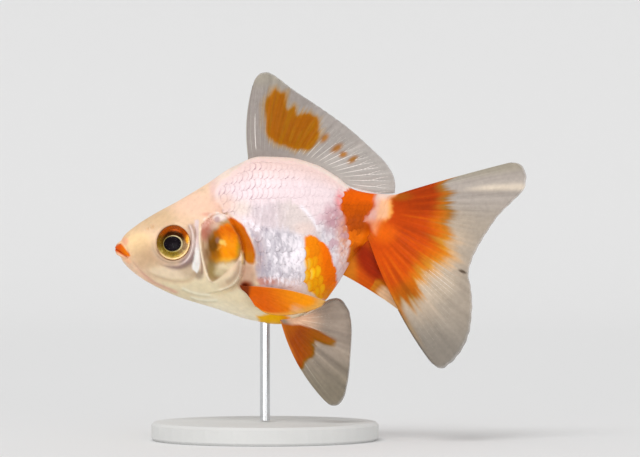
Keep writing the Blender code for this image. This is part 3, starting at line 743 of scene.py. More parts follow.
def trunk_colour(x, z, y):
    """Colour of the scaled part of the body."""
    height = height_share(x, z)
    wave = cloud(x * 0.3, z * 0.3, y * 0.2, seed=31)
    colour = mix(rgb(236, 208, 178), SILVER, smoothstep(0.10, 0.26, height))
    colour = mix(colour, PINK_WHITE, smoothstep(0.50, 0.66, height + 0.04 * wave))
    ridge = smoothstep(0.5, -0.2, back(x) - z - bare_ridge(x)) * smoothstep(60, 54, x)
    faint = noise(x * 2.4, z * 0.45, seed=33) + 0.5 * noise(x * 4.4, z * 1.2, seed=34)
    in_smooth = smoothstep(-0.9, 1.0, depth_inside(x, z, SMOOTH_AREA) + 0.6 * faint)
    speck = smoothstep(-0.5, 0.4, noise(x * 2.4, z * 1.8, seed=35))
    return paint_all(
        colour,
        (BACK_PINK, smoothstep(0.82, 0.97, height)),
        (mix(rgb(250, 226, 214), rgb(250, 232, 222), smoothstep(38, 50, x)), ridge),
        (rgb(224, 206, 212), smoothstep(46, 50, x) * smoothstep(0.9, 0.6, height)),
        (rgb(200, 148, 156), spot(x, z, (48.6, 6.6), (2.4, 2.8), 0.7), 0.85),
        (rgb(240, 190, 168), spot(x, z, (50.9, 1.6), (1.9, 5.8), 0.6), 0.9),
        (rgb(212, 132, 96), spot(x, z, (51.2, 4.6), (1.4, 3.8), 0.7), 0.9),
        (rgb(232, 160, 160), spot(x, z, (49.6, 10.6), (1.2, 2.0), 0.6), 0.8),
        (smooth_colour(x, faint), in_smooth, 0.95),
        (rgb(240, 222, 208), spot(x, z, (27.9, 8.9), (1.9, 1.7), 0.8), 0.7),
        (rgb(240, 216, 208), spot(x, z, (41.9, 4.4), (2.4, 1.5), 0.6), 0.8),
        (BRIGHT_SILVER, stroke(x, z, PALE_CHEVRON, 0.42), 0.9),
        (rgb(243, 206, 188), spot(x, z, (23.8, 9.8), (2.6, 2.4), 0.7), 0.85),
        (rgb(208, 138, 120), spot(x, z, (32.8, -7.1), (4.0, 0.9), 0.6), 0.9),
        (rgb(240, 220, 216), spot(x, z, (38.8, -8.2), (3.0, 1.6), 0.6)),
        (rgb(240, 196, 154), spot(x, z, (41.5, -13.6), (4.5, 2.2), 0.5)),
        (rgb(250, 146, 150), spot(x, z, (49.5, 11.0), (0.6, 1.8), 0.7) * speck, 0.8),
    )


def smooth_colour(x, faint):
    """The pale area of the upper flank where scales hardly show, with faint upright lines in front."""
    in_front = smoothstep(40.0, 37.0, x)
    colour = mix(rgb(226, 209, 213), BEIGE, smoothstep(34.0, 39.0, x))
    colour = dim(colour, 0.90, smoothstep(0.0, 0.8, faint) * in_front)
    return paint(colour, rgb(244, 234, 238), smoothstep(0.1, 0.8, -faint) * in_front, 0.6)


def silver_streaks(colour, x, z, y):
    """Short bright and dark upright streaks on the silver part of the flank. The bright ones are painted
    sparkle of the silvery scales.
    """
    area = patch(x, z, SILVER_AREA, 0.9)
    streak = 0.7 * noise(x * 2.8, z * 0.9, y * 0.2, seed=41) + 0.5 * noise(x * 5.0, z * 2.4, seed=42)
    blotch = noise(x * 0.42, z * 0.42, seed=43)
    upper = 0.35 * smoothstep(2.5, 6.5, z)
    light = streak + upper + 0.55 * blotch + 0.8 * spot(x, z, (40.9, -3.2), (1.6, 6.5), 0.7) - 0.06
    front = spot(x, z, (31.0, -1.6), (2.0, 5.0), 0.7)
    colour = paint(colour, rgb(182, 154, 154), front * area, 0.85)
    depth = mix(0.8, 0.45, smoothstep(34.0, 39.0, x))
    colour = paint(colour, DARK_SILVER, smoothstep(0.0, 0.7, -light) * area * depth)
    shaded = 0.3 * front + 0.22 * spot(x, z, (33.6, -1.6), (3.0, 5.5), 0.7)
    # painted sparkle: bright streaks on the silvery scales
    colour = paint(colour, BRIGHT_SILVER, smoothstep(0.0, 0.6, light - shaded) * area, 0.9)
    colour = dim(colour, 0.92, spot(x, z, (38.0, 2.6), (2.6, 2.4), 0.6) * area)
    # more painted sparkle, at the rear edge of the flank's orange patch
    rear = spot(x, z, (47.8, -0.6), (1.2, 3.4), 0.6)
    return paint(colour, BRIGHT_SILVER, rear * smoothstep(-0.3, 0.4, streak), 0.9)


def orange_masks(x, z, wobble=0.0):
    """Where the orange of the tail stem, the flank's patch and the belly's patch lie."""
    stem = smoothstep(-0.25, 0.25, depth_inside(x, z, STEM_PATCH) + wobble)
    stem = np.maximum(stem, smoothstep(52.8, 54.2, x))
    flank = smoothstep(-0.22, 0.22, depth_inside(x, z, FLANK_PATCH) + wobble)
    yellow = smoothstep(-0.3, 0.5, depth_inside(x, z, BELLY_PATCH) + wobble)
    return stem, flank, yellow


def orange_marks(colour, x, z, masks):
    """The orange and yellow patches of the trunk and tail stem."""
    stem, flank, yellow = masks
    colour = paint(colour, stem_shade(x, z), stem)
    shade = mix(rgb(252, 118, 2), rgb(244, 142, 6), smoothstep(-7.0, -10.5, z))
    shade = paint(shade, rgb(254, 142, 6), smoothstep(46.2, 44.4, x + 0.12 * z))
    colour = paint(colour, shade, flank)
    return paint(colour, mix(rgb(255, 188, 0), rgb(250, 156, 10), smoothstep(36.0, 38.0, x)), yellow)


def stem_shade(x, z):
    """The orange patch of the tail stem and, behind it, the root of the tail."""
    shade = mix(rgb(236, 98, 2), rgb(208, 88, 3), smoothstep(10.9, 9.6, z))
    shade = paint(shade, rgb(184, 76, 1), spot(x, z, (53.8, 5.8), (2.4, 2.6), 0.6))
    shade = paint(shade, rgb(246, 122, 14), smoothstep(4.6, 2.6, z))
    shade = paint(shade, vent_shade(x, z), smoothstep(1.4, 0.3, z))
    edge = depth_inside(x, z, STEM_PATCH)
    return mix(tail_shade(x, z), shade, smoothstep(-0.35, 0.35, edge))


def vent_shade(x, z):
    """Behind the vent: orange brown in front, then dark red, partly pigment and partly painted shadow of the
    near half of the tail.
    """
    colour = mix(rgb(216, 122, 24), rgb(206, 84, 6), smoothstep(52.0, 54.2, x))
    along = z - VENT_SHADE[1]
    # dark red, partly pigment and partly painted shadow of the near half of the tail
    dark = spot(x - VENT_SHADE[0] + 0.45 * along, along, (0, 0), (2.5, 4.4), 0.5)
    return paint(colour, rgb(160, 40, 2), dark)


def tail_shade(x, z):
    """The orange of the tail, with a pale blaze over its root."""
    blaze = depth_inside(x, z, TAIL_BLAZE) + 0.5 * cloud(x, z, seed=37) * smoothstep(58.5, 60.0, x)
    outer = mix(-0.5, -1.0, smoothstep(58, 61, x))
    return paint_all(
        mix(rgb(202, 70, 2), rgb(212, 78, 2), smoothstep(4.5, -1.0, z - 0.15 * (x - 60))),
        (rgb(172, 56, 1), spot(x, z, (67.5, 11.8), (8.0, 3.8), 0.6), 0.9),
        (rgb(170, 98, 14), spot(x, z, (62.6, 11.6), (2.4, 0.9), 0.8), 0.6),
        (rgb(242, 106, 2), spot(x, z, (59.3, 3.4), (2.6, 2.0), 0.7), 0.8),
        (rgb(196, 74, 2), spot(x, z, (61.2, -8.8), (3.0, 4.4), 0.6), 0.8),
        (rgb(250, 150, 50), smoothstep(-1.2, 0.3, blaze) * smoothstep(57.5, 60.0, x)),
        (blaze_colour(x, z), smoothstep(outer, 0.9, blaze)),
    )


def blaze_colour(x, z):
    """The blaze is pink in front, and pale orange behind a slanting line."""
    past_line = x - 57.6 - 0.2 * (z - 8) + 0.8 * cloud(x, z, seed=36)
    pale = mix(rgb(246, 158, 118), rgb(252, 192, 148), smoothstep(4.5, 7.5, z))
    pale = mix(rgb(240, 186, 172), pale, smoothstep(-0.8, 0.8, past_line))
    pale = mix(pale, rgb(250, 190, 104), smoothstep(59.6, 61.0, x) * smoothstep(11.5, 9.5, z))
    pale = mix(pale, rgb(238, 208, 194), smoothstep(10.2, 11.8, z))
    return mix(pale, rgb(250, 146, 76), smoothstep(7.2, 5.4, z) * 0.75)


def lip_colour(colour, x, z, y):
    """Paints the orange lips and the line between them, which drops towards the corners of the mouth."""
    corner = np.clip(np.abs(y) / MOUTH_HALF_WIDTH, 0, 1) ** 2
    from_slit = np.hypot(x - MOUTH_REACH * corner, z - (MOUTH_FRONT_Z - MOUTH_DROP * corner))
    reach = smoothstep(4.2, 3.0, x)
    lips = mix(rgb(224, 88, 14), rgb(238, 122, 10), smoothstep(0.6, 2.6, x))
    return paint_all(
        colour,
        (rgb(246, 190, 150), smoothstep(1.9, 1.0, from_slit) * reach, 0.8),
        (rgb(244, 170, 138), spot(x, z, (2.2, 1.7), (0.8, 0.9), 0.6), 0.7),
        (lips, patch(x, z, LIP_PATCH, 0.22)),
        (rgb(178, 78, 40), stroke(x, z, UPPER_LIP, 0.14), 0.7),
        (rgb(196, 78, 14), smoothstep(0.16, 0.04, from_slit) * reach, 0.6),
    )


def body_colour(points):
    """Colour of the skin at each point, the same under the scales as on them."""
    x, y, z = points[..., 0], points[..., 1], points[..., 2]
    scaled = smoothstep(-0.4, 0.5, behind_scale_start(x, z) + 0.35 * cloud(x, z, seed=51))
    colour = mix(head_colour(x, z, y), silver_streaks(trunk_colour(x, z, y), x, z, y), scaled)
    masks = orange_masks(x, z, 0.25 * cloud(x * 0.9, z * 0.9, seed=52))
    colour = orange_marks(gill_colour(colour, x, z), x, z, masks)
    return lip_colour(colour, x, z, y)


# ---------------------------------------------------------------- mesh building
def new_piece(name, verts, faces, material, replaced=(), uvs=None, attributes=None):
    """A shown piece from points in fish millimetres. uvs holds one place for each face corner."""
    corners = verts[faces]
    volume = np.einsum("ij,ij->i", corners[:, 0], np.cross(corners[:, 1], corners[:, 2])).sum()
    if volume < 0:
        faces = faces[:, ::-1]
        uvs = None if uvs is None else uvs[:, ::-1]
    mesh = bpy.data.meshes.new(name)
    mesh.from_pydata(world(verts).tolist(), [], faces.tolist())
    if uvs is not None:
        layer = mesh.uv_layers.new(name="OFBake")
        layer.data.foreach_set("uv", np.ascontiguousarray(uvs, np.float32).ravel())
    for key, values in (attributes or {}).items():
        if values.ndim == 1:
            mesh.attributes.new(key, "FLOAT", "POINT").data.foreach_set("value", values.astype(np.float32))
        else:
            colours = np.ones((len(values), 4), np.float32)
            colours[:, :3] = values
            layer = mesh.color_attributes.new(key, "FLOAT_COLOR", "POINT")
            layer.data.foreach_set("color", colours.ravel())
    mesh.shade_smooth()
    mesh.materials.append(material)
    piece = bpy.data.objects.new(name, mesh)
    bpy.context.scene.collection.objects.link(piece)
    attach(piece, "root")
    if replaced:
        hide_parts(*replaced)
    return piece


def grid_faces(rows, columns, closed=False):
    """Corner indices of the quads of a grid, and their places on it from 0 to 1."""
    across = columns if closed else columns - 1
    r, c = np.meshgrid(np.arange(rows - 1), np.arange(across), indexing="ij")
    corners = ((r, c), (r, c + 1), (r + 1, c + 1), (r + 1, c))
    faces = np.stack([a * columns + b % columns for a, b in corners], -1).reshape(-1, 4)
    places = [np.stack((a / (rows - 1), b / across), -1) for a, b in corners]
    return faces, np.stack(places, -2).reshape(-1, 4, 2)


def both_sides(colour, share):
    """Colours and shares at the points of one grid, as lists for a solid made of two such grids."""
    return np.stack((colour, colour)).reshape(-1, 3), np.stack((share, share)).ravel()


def solid_sheets(top, under):
    """Joins each pair of grids, shaped (sheets, rows, columns, 3), into a closed thin solid."""
    sheets, rows, columns, _ = top.shape
    quads, _ = grid_faces(rows, columns)
    size = rows * columns
    index = np.arange(size).reshape(rows, columns)
    rim = np.concatenate((index[0], index[1:, -1], index[-1, -2::-1], index[-2:0:-1, 0]))
    after = np.roll(rim, -1)
    sides = np.stack((rim, rim + size, after + size, after), -1)
    one = np.concatenate((quads, quads[:, ::-1] + size, sides))
    faces = (one[None] + (np.arange(sheets) * size * 2)[:, None, None]).reshape(-1, 4)
    verts = np.stack((top, under), 1).reshape(-1, 3)
    return verts, faces


# --------------------------------------------------------------------- materials
class Nodes:
    """A material's node tree, with short names for what the materials here use."""

    def __init__(self, name):
        self.material = bpy.data.materials.new(name)
        self.material.use_nodes = True
        self.tree = self.material.node_tree
        self.shader = self.tree.nodes["Principled BSDF"]
        self.place = self.tree.nodes.new("ShaderNodeTexCoord").outputs["Object"]

    def put(self, socket, value):
        """Sets a socket to a number or colour, or links it."""
        if isinstance(value, bpy.types.NodeSocket):
            self.tree.links.new(value, socket)
        else:
            if not np.isscalar(value) and len(value) == 3 and len(socket.default_value) == 4:
                value = (*value, 1.0)
            socket.default_value = value

    def set(self, **values):
        for key, value in values.items():
            self.put(self.shader.inputs[key.replace("_", " ")], value)

    def node(self, kind, inputs=(), **settings):
        node = self.tree.nodes.new("ShaderNode" + kind)
        for key, value in settings.items():
            setattr(node, key, value)
        for key, value in dict(inputs).items():
            self.put(node.inputs[key], value)
        return node

    def attribute(self, name, output="Fac"):
        return self.node("Attribute", attribute_name=name).outputs[output]

    def noise(self, per_mm, detail=3.0, stretch=(1, 1, 1), vector=None):
        """Noise with about per_mm cells to a millimetre, from 0 to 1."""
        scale = tuple(per_mm / MM * s for s in stretch)
        mapping = self.node("Mapping", {"Vector": vector or self.place, "Scale": scale})
        inputs = {"Vector": mapping.outputs[0], "Scale": 1.0, "Detail": detail}
        return self.node("TexNoise", inputs).outputs["Fac"]

    def ramp(self, value, low, high, to_low, to_high):
        inputs = {"Value": value, "From Min": low, "From Max": high, "To Min": to_low, "To Max": to_high}
        return self.node("MapRange", inputs).outputs[0]

    def uneven(self, low, high, per_mm, detail=3.0, stretch=(1, 1, 1)):
        """A value that drifts between low and high from place to place."""
        return self.ramp(self.noise(per_mm, detail, stretch), 0.3, 0.7, low, high)

    def painted(self, tone):
        """The mesh's colour attribute, made lighter and darker by tone."""
        self.set(Base_Color=self.blend(1.0, self.attribute("colour", "Color"), tone, "MULTIPLY"))

    def math(self, operation, a, b=0.5):
        return self.node("Math", {0: a, 1: b}, operation=operation).outputs[0]

    def blend(self, amount, a, b, mode="MIX"):
        node = self.node("Mix", data_type="RGBA", blend_type=mode)
        self.put(node.inputs[0], amount)
        self.put(node.inputs[6], a)
        self.put(node.inputs[7], b)
        return node.outputs[2]

    def bumps(self, height, distance_mm, strength=1.0):
        inputs = {"Height": height, "Distance": distance_mm * MM, "Strength": strength}
        self.set(Normal=self.node("Bump", inputs).outputs[0])


def skin_material():
    """Bare wet skin: fine pores and wrinkles under a thin slime coat."""
    n = Nodes("skin")
    n.painted(n.uneven(0.94, 1.04, 0.9))
    n.set(Roughness=n.uneven(0.28, 0.46, 1.6))
    n.set(Subsurface_Weight=0.06, Subsurface_Radius=(1.0, 0.4, 0.2), Subsurface_Scale=0.35 * MM)
    n.set(Coat_Weight=0.02, Coat_Roughness=0.2, Specular_IOR_Level=0.05)
    pores = n.noise(5.0, 2.0)
    wrinkles = n.noise(1.1, 4.0)
    n.bumps(n.math("ADD", n.math("MULTIPLY", pores, 0.3), wrinkles), 0.05, 0.7)
    return n.material


def scale_material():
    """Pearly plates, with the growth rings and the upright grain of real scales."""
    n = Nodes("scales")
    n.painted(n.uneven(0.93, 1.05, 2.2))
    n.set(Metallic=n.math("MULTIPLY", n.attribute("pearl"), 0.2))
    n.set(Roughness=n.uneven(0.34, 0.5, 3.0, 2.0, (1, 1, 0.4)))
    n.set(Coat_Weight=0.02, Coat_Roughness=0.18, Specular_IOR_Level=0.05)
    rings = n.math("SINE", n.math("MULTIPLY", n.attribute("rings"), 60.0))
    grain = n.noise(4.0, 3.0, (1, 1, 0.35))
    n.bumps(n.math("ADD", n.math("MULTIPLY", rings, 0.12), grain), 0.03, 0.6)
    return n.material


def fin_material(name, grain, roughness, roughness_grain):
    """Wet and translucent: its colour and how solid it is come with the mesh."""
    n = Nodes(name)
    n.painted(n.uneven(0.93, 1.05, grain))
    n.set(Alpha=n.attribute("solid"))
    n.set(Roughness=n.uneven(*roughness, roughness_grain))
    n.set(Specular_IOR_Level=0.08)
    return n


def web_material():
    """The web of the fins, faintly wrinkled."""
    n = fin_material("fin_web", 1.2, (0.30, 0.45), 2.0)
    n.bumps(n.noise(3.0, 3.0), 0.03, 0.6)
    return n.material


def ray_material():
    """The rays of the fins."""
    return fin_material("fin_rays", 2.0, (0.25, 0.4), 3.0).material


def eye_material():
    """A flecked iris with a pearly sheen, which the pupil doesn't have."""
    n = Nodes("iris_and_pupil")
    n.painted(n.ramp(n.noise(3.5, 4.0), 0.35, 0.65, 0.80, 1.18))
    n.set(Metallic=n.math("MULTIPLY", n.attribute("pearl"), 0.5))
    n.set(Roughness=n.uneven(0.25, 0.38, 2.5), Specular_IOR_Level=0.05)
    n.bumps(n.noise(4.0, 3.0), 0.010, 0.5)
    return n.material


def cornea_material():
    """Clear and wet: light goes straight through, and a little of it is mirrored."""
    n = Nodes("cornea")
    n.tree.nodes.remove(n.shader)
    clear = n.node("BsdfTransparent")
    gloss = n.node("BsdfGlossy", {"Roughness": n.uneven(0.10, 0.15, 0.8)})
    share = n.math("MULTIPLY", n.node("Fresnel", {"IOR": 1.33}).outputs[0], 0.04)
    both = n.node("MixShader", {0: share, 1: clear.outputs[0], 2: gloss.outputs[0]})
    n.tree.links.new(both.outputs[0], n.tree.nodes["Material Output"].inputs[0])
    return n.material


def steel_material():
    """Steel brushed along the rod."""
    n = Nodes("brushed_steel")
    lines = n.noise(9.0, 2.0, (1, 1, 0.03))
    n.set(Base_Color=n.blend(lines, rgb(196, 198, 200), rgb(222, 224, 226)), Metallic=1.0)
    n.set(Roughness=n.ramp(lines, 0.3, 0.7, 0.22, 0.36))
    n.bumps(lines, 0.02, 0.5)
    return n.material


def paint_material():
    """Matt paint with a slight orange peel."""
    n = Nodes("matt_white_paint")
    tone = n.uneven(0.0, 1.0, 0.06)
    n.set(Base_Color=n.blend(tone, rgb(214, 214, 212), rgb(220, 220, 218)))
    n.set(Roughness=n.uneven(0.48, 0.6, 0.5))
    n.bumps(n.noise(2.4, 2.0), 0.04, 0.5)
    return n.material


def stage_material():
    n = Nodes("pale_stage")
    n.set(Base_Color=STAGE_COLOUR, Roughness=0.9, Specular_IOR_Level=0.1)
    return n.material


# -------------------------------------------------------------------------- skin
SKIN_AROUND = 336


def skin_rows():
    """The plain body from inside the mouth to the end of the tail stem, as a grid of points."""
    angles = 2 * math.pi * np.arange(SKIN_AROUND) / SKIN_AROUND
    rows = [mouth_point(angles, 0.05) * 0.96 + (0.9, 0, 0), mouth_point(angles, 0.07) + (0.3, 0, 0)]
    rows += [snout_ring(share, angles) for share in np.linspace(0, 1, 27)]
    rows += [ring(x, angles) for x in np.arange(SNOUT_END + 0.24, 31.0, 0.24)]
    rows += [ring(x, angles) for x in np.arange(31.3, STEM_START, 0.4)]
    for share in np.linspace(0, 1, 15):
        narrow = mix(1.0, STEM_TAPER, smoothstep(0.35, 1.0, share))
        rows.append(ring(mix(STEM_START, STEM_END, share), angles, STEM_LEAN * share, narrow))
    for narrow, beyond in ((0.95, 0.2), (0.86, 0.45), (0.74, 0.7), (0.58, 0.95), (0.38, 1.15), (0.2, 1.3)):
        rows.append(ring(STEM_END + beyond, angles, STEM_LEAN, narrow * STEM_TAPER))
    return np.array(rows)


def skin_inset(x, z):
    """Depth of the skin under the solids' surface: shallow where it is bare, deeper under the scales."""
    inset = mix(HEAD_INSET, SCALED_INSET, smoothstep(-0.3, 1.2, behind_scale_start(x, z)))
    inset = mix(HEAD_INSET, inset, smoothstep(-0.2, 0.5, z - belly(x) - 0.4))
    inset = mix(HEAD_INSET + 0.1, inset, smoothstep(-0.4, 1.4, back(x) - z - bare_ridge(x)))
    inset = mix(inset, HEAD_INSET, smoothstep(54.6, 56.4, x - 0.3 * (z - 7)))
    return inset * smoothstep(0.0, 1.5, x)


def end_caps(rows, columns):
    """Quads that close the first and the last row of a grid whose rows run round."""
    caps = []
    for first, start in ((0, columns // 4), (rows - 1, 0)):
        for k in range(columns // 2):
            quad = (start + k, start + k + 1, start - k - 1, start - k)
            caps.append([first * columns + q % columns for q in quad])
    return np.array(caps)


def make_skin(material):
    """The bare skin of the head and, a little deeper, the skin that the scales lie on."""
    grid = skin_rows()
    x, y, z = grid[..., 0], grid[..., 1], grid[..., 2]
    height = relief(x, z, y) * smoothstep(2.6, 4.6, x) - skin_inset(x, z)
    skin = grid + surface_normals(grid) * height[..., None]
    rows, columns = grid.shape[:2]
    faces, places = grid_faces(rows, columns, closed=True)
    caps = end_caps(rows, columns)
    faces = np.concatenate((faces, caps))
    places = np.concatenate((places * 0.98, np.full((len(caps), 4, 2), 0.99)))
    colour = body_colour(grid).reshape(-1, 3)
    nodes = ("head", "trunk", "tail_stem", "gill_cover_left", "gill_cover_right")
    new_piece("skin", skin.reshape(-1, 3), faces, material, nodes, places, {"colour": colour})


# ------------------------------------------------------------------------ scales
LINE_POINTS = ((20, 3.2), (30, 3.4), (38, 3.6), (46, 5.0), (52, 6.4), (60, 7.0), (66, 7.2))
line_height = profile(LINE_POINTS)  # height of the lateral line
ROW_SPACING = 2.5  # between rows of scales, where the body is deepest
COLUMN_SPACING = 1.16  # between scales along a row there
ROWS_ABOVE, ROWS_BELOW = 9, 9
DEEPEST_ABOVE, DEEPEST_BELOW = 20.5, 22.5  # round the body, from the lateral line to back and belly
FIRST_COLUMN, LAST_COLUMN = 19.5, 58
ACROSS = 11  # points across a scale
ALONG = (0, 0.2, 0.4, 0.58, 0.74, 0.86, 0.94, 0.985, 1.0)  # places of its rows from root to free edge
SCALE_THICKNESS = 0.07
SCALE_UVS = 0.0015  # half the size of a scale's patch of the unwrap


class ScaleMap:
    """Places on the body by x and by row, where row 0 is the lateral line and rows count upwards."""

    def __init__(self):
        self.xs = np.linspace(18, 66, 193)
        self.rows = np.linspace(-ROWS_BELOW - 3, ROWS_ABOVE + 3, 481)
        angles = np.linspace(-0.7, math.pi + 0.7, 1200)
        self.angle = np.empty((len(self.xs), len(self.rows)))
        for i, x in enumerate(self.xs):
            points = section_point(np.full(len(angles), x), angles)
            length = np.concatenate(([0], np.cumsum(np.linalg.norm(np.diff(points, axis=0), axis=1))))
            side = (angles > 0.2) & (angles < math.pi - 0.2)
            at_line = np.interp(-line_height(x), -points[side, 2], length[side])
            above = at_line - np.interp(0, angles, length)
            below = np.interp(math.pi, angles, length) - at_line
            up = 0.92 * ROW_SPACING * (above / DEEPEST_ABOVE) ** 0.6
            down = ROW_SPACING * (below / DEEPEST_BELOW) ** 0.6
            arc = at_line - np.where(self.rows > 0, up, down) * self.rows
            self.angle[i] = np.interp(arc, length, angles)

    def point(self, x, row):
        """The body's left side at each x and row."""
        i = np.clip((x - self.xs[0]) / (self.xs[1] - self.xs[0]), 0, len(self.xs) - 1.001)
        j = np.clip((row - self.rows[0]) / (self.rows[1] - self.rows[0]), 0, len(self.rows) - 1.001)
        i0, j0 = i.astype(int), j.astype(int)
        s, t = i - i0, j - j0
        a = self.angle
        angle = (a[i0, j0] * (1 - s) + a[i0 + 1, j0] * s) * (1 - t)
        angle += (a[i0, j0 + 1] * (1 - s) + a[i0 + 1, j0 + 1] * s) * t
        return section_point(x, angle)


def scale_roots(places, rng):
    """x, row and column spacing of each scale, from the gill cover to the tail."""
    found = []
    columns = [FIRST_COLUMN]
    while columns[-1] < LAST_COLUMN:
        depth = back(columns[-1]) - belly(columns[-1])
        columns.append(columns[-1] + COLUMN_SPACING * (depth / 37.0) ** 0.34)
    for row in range(-ROWS_BELOW, ROWS_ABOVE + 1):
        for first, after in zip(columns, columns[1:]):
            x = first if row % 2 == 0 else (first + after) / 2
            here = places.point(np.array([x]), np.array([float(row)]))[0]
            jitter = rng.normal(0, 1, 6)
            over_ridge = here[1] > -0.25 or here[2] > back(here[0]) - bare_ridge(here[0])
            over_keel = here[2] < belly(here[0]) + 0.45
            behind = behind_scale_start(np.array([here[0]]), np.array([here[2]]))[0]
            beyond_stem = x > 55.2 + 0.3 * (here[2] - 7)
            if behind > 0.6 and not (over_ridge or over_keel or beyond_stem):
                found.append((x, row, after - first, behind, *jitter))
    return np.array(found)


def scale_tip(b):
    """How far the free edge reaches, from 1.06 in the middle to far less at the sides, b at -1 and 1."""
    return 1.06 - 0.80 * np.abs(b) ** 2.3


def place_normals(places, x, row):
    step = 0.02
    along = places.point(x + step, row) - places.point(x - step, row)
    across = places.point(x, row + step) - places.point(x, row - step)
    normal = np.cross(along, across)
    normal /= np.linalg.norm(normal, axis=-1, keepdims=True)
    return normal * np.where(normal[..., 1:2] > 0, -1, 1)


def scale_freedom(places, x, row, behind):
    """How far each scale may stand off: 0 where the scales lie flat, 1 where they show best."""
    height = places.point(x, row)[:, 2]
    free = (1 - calmness(x, height)) * smoothstep(-0.5, 2.5, behind)
    return free * smoothstep(0.2, 3.0, back(x) - height)


def make_scales(material):
    """Overlapping plates in rows: each lies on the skin at its root and stands off it at its free edge."""
    places = ScaleMap()
    roots = scale_roots(places, np.random.default_rng(7))
    x0, row0, pitch, behind = (roots[:, k, None, None] for k in range(4))
    wobble = roots[:, 4:, None, None]
    b = np.linspace(-1, 1, ACROSS)[None, None, :]
    t = np.array(ALONG)[None, :, None]
    root = -0.62 + 0.25 * b * b
    a = root + (scale_tip(b) + 0.02 * wobble[:, 0] * b - root) * t
    x = x0 + pitch * (a + 0.07 * wobble[:, 1])
    row = row0 + 0.64 * b * (1 + 0.02 * wobble[:, 2]) + 0.05 * wobble[:, 3]
    base = places.point(x, row)
    normal = place_normals(places, x, row)
    free = scale_freedom(places, *(values[:, 0, 0] for values in (x0, row0, behind)))
    lift = 0.03 + (MAX_LIFT - 0.05) * (a - root.min()) / 1.7 + 0.05 * (1 - b * b) * t
    lift = lift * (0.15 + 0.85 * free[:, None, None]) * np.clip(1 + 0.25 * wobble[:, 4], 0.5, 1.5)
    thick = SCALE_THICKNESS * (1 - 0.7 * t**4)
    outer = base + normal * (lift - SCALED_INSET)[..., None]
    under = base + normal * (lift - thick - SCALED_INSET)[..., None]

    centre = places.point(x0[:, 0, 0] + 0.45 * pitch[:, 0, 0], row0[:, 0, 0])
    colour, orange = scale_colours(base, centre, a + 0 * b, b + 0 * a, wobble[:, 5])
    pearl = mix(0.35 + 0.65 * patch(base[..., 0], base[..., 2], SILVER_AREA, 1.2), 0.1, orange)
    rings = np.hypot(a + 0.5, 1.1 * b) / 2 + 0 * pearl
    values = {"colour": np.stack((colour, colour * 0.85), 1).reshape(-1, 3)}
    values["pearl"] = np.stack((pearl, pearl), 1).ravel()
    values["rings"] = np.stack((rings, rings), 1).ravel()
    uv = root_patch(x0, row0, a, b)
    for word, side in SIDES:
        mirror = np.array((1.0, -side, 1.0))
        verts, faces = solid_sheets(outer * mirror, under * mirror)
        uvs = np.stack((uv[side > 0], uv[side > 0]), 1).reshape(-1, 2)[faces]
        new_piece(f"scales_{word}", verts, faces, material, (), uvs, values)


def root_patch(x0, row0, a, b):
    """Each scale's patch on an unwrap of the body, for the left side and the right."""
    u = 0.02 + 0.94 * (x0 - 18) / 46 + SCALE_UVS * a
    v = 0.25 + 0.45 * row0 / 20 + SCALE_UVS * b
    u, v = np.broadcast_arrays(u, v)
    return np.stack((u, v), -1), np.stack((u, 1 - v), -1)


def edge_pigment_and_shadow_strength(x, z):
    """How dark the edges of the pale scales are, in pigment and painted shadow: most on the front of the
    back, and near the tail.
    """
    front = spot(x, z, (30.5, 14.0), (10.5, 6.5), 0.6)
    rear = spot(x, z, (49.0, 4.0), (3.5, 6.0), 0.6)
    patchy = 0.7 + 0.7 * cloud(x * 0.45, z * 0.45, seed=55)
    return (0.3 + 1.0 * front + 0.8 * rear) * patchy


def calmness(x, z, on_back=0.6):
    """Where the scales lie flat and hardly show, from 0 to 1."""
    smooth = smoothstep(-2.6, 0.4, depth_inside(x, z, SMOOTH_AREA))
    middle = on_back * spot(x, z, (41.0, 12.5), (6.5, 5.0), 0.5)
    upper = np.maximum(spot(x, z, (41.5, 9.5), (4.6, 3.6), 0.6), spot(x, z, (27.6, 8.6), (4.0, 3.0), 0.6))
    flank = spot(x, z, (46.6, -4.2), (1.8, 6.0), 0.4)
    return np.maximum.reduce((smooth, middle, 0.6 * upper, 0.8 * flank))


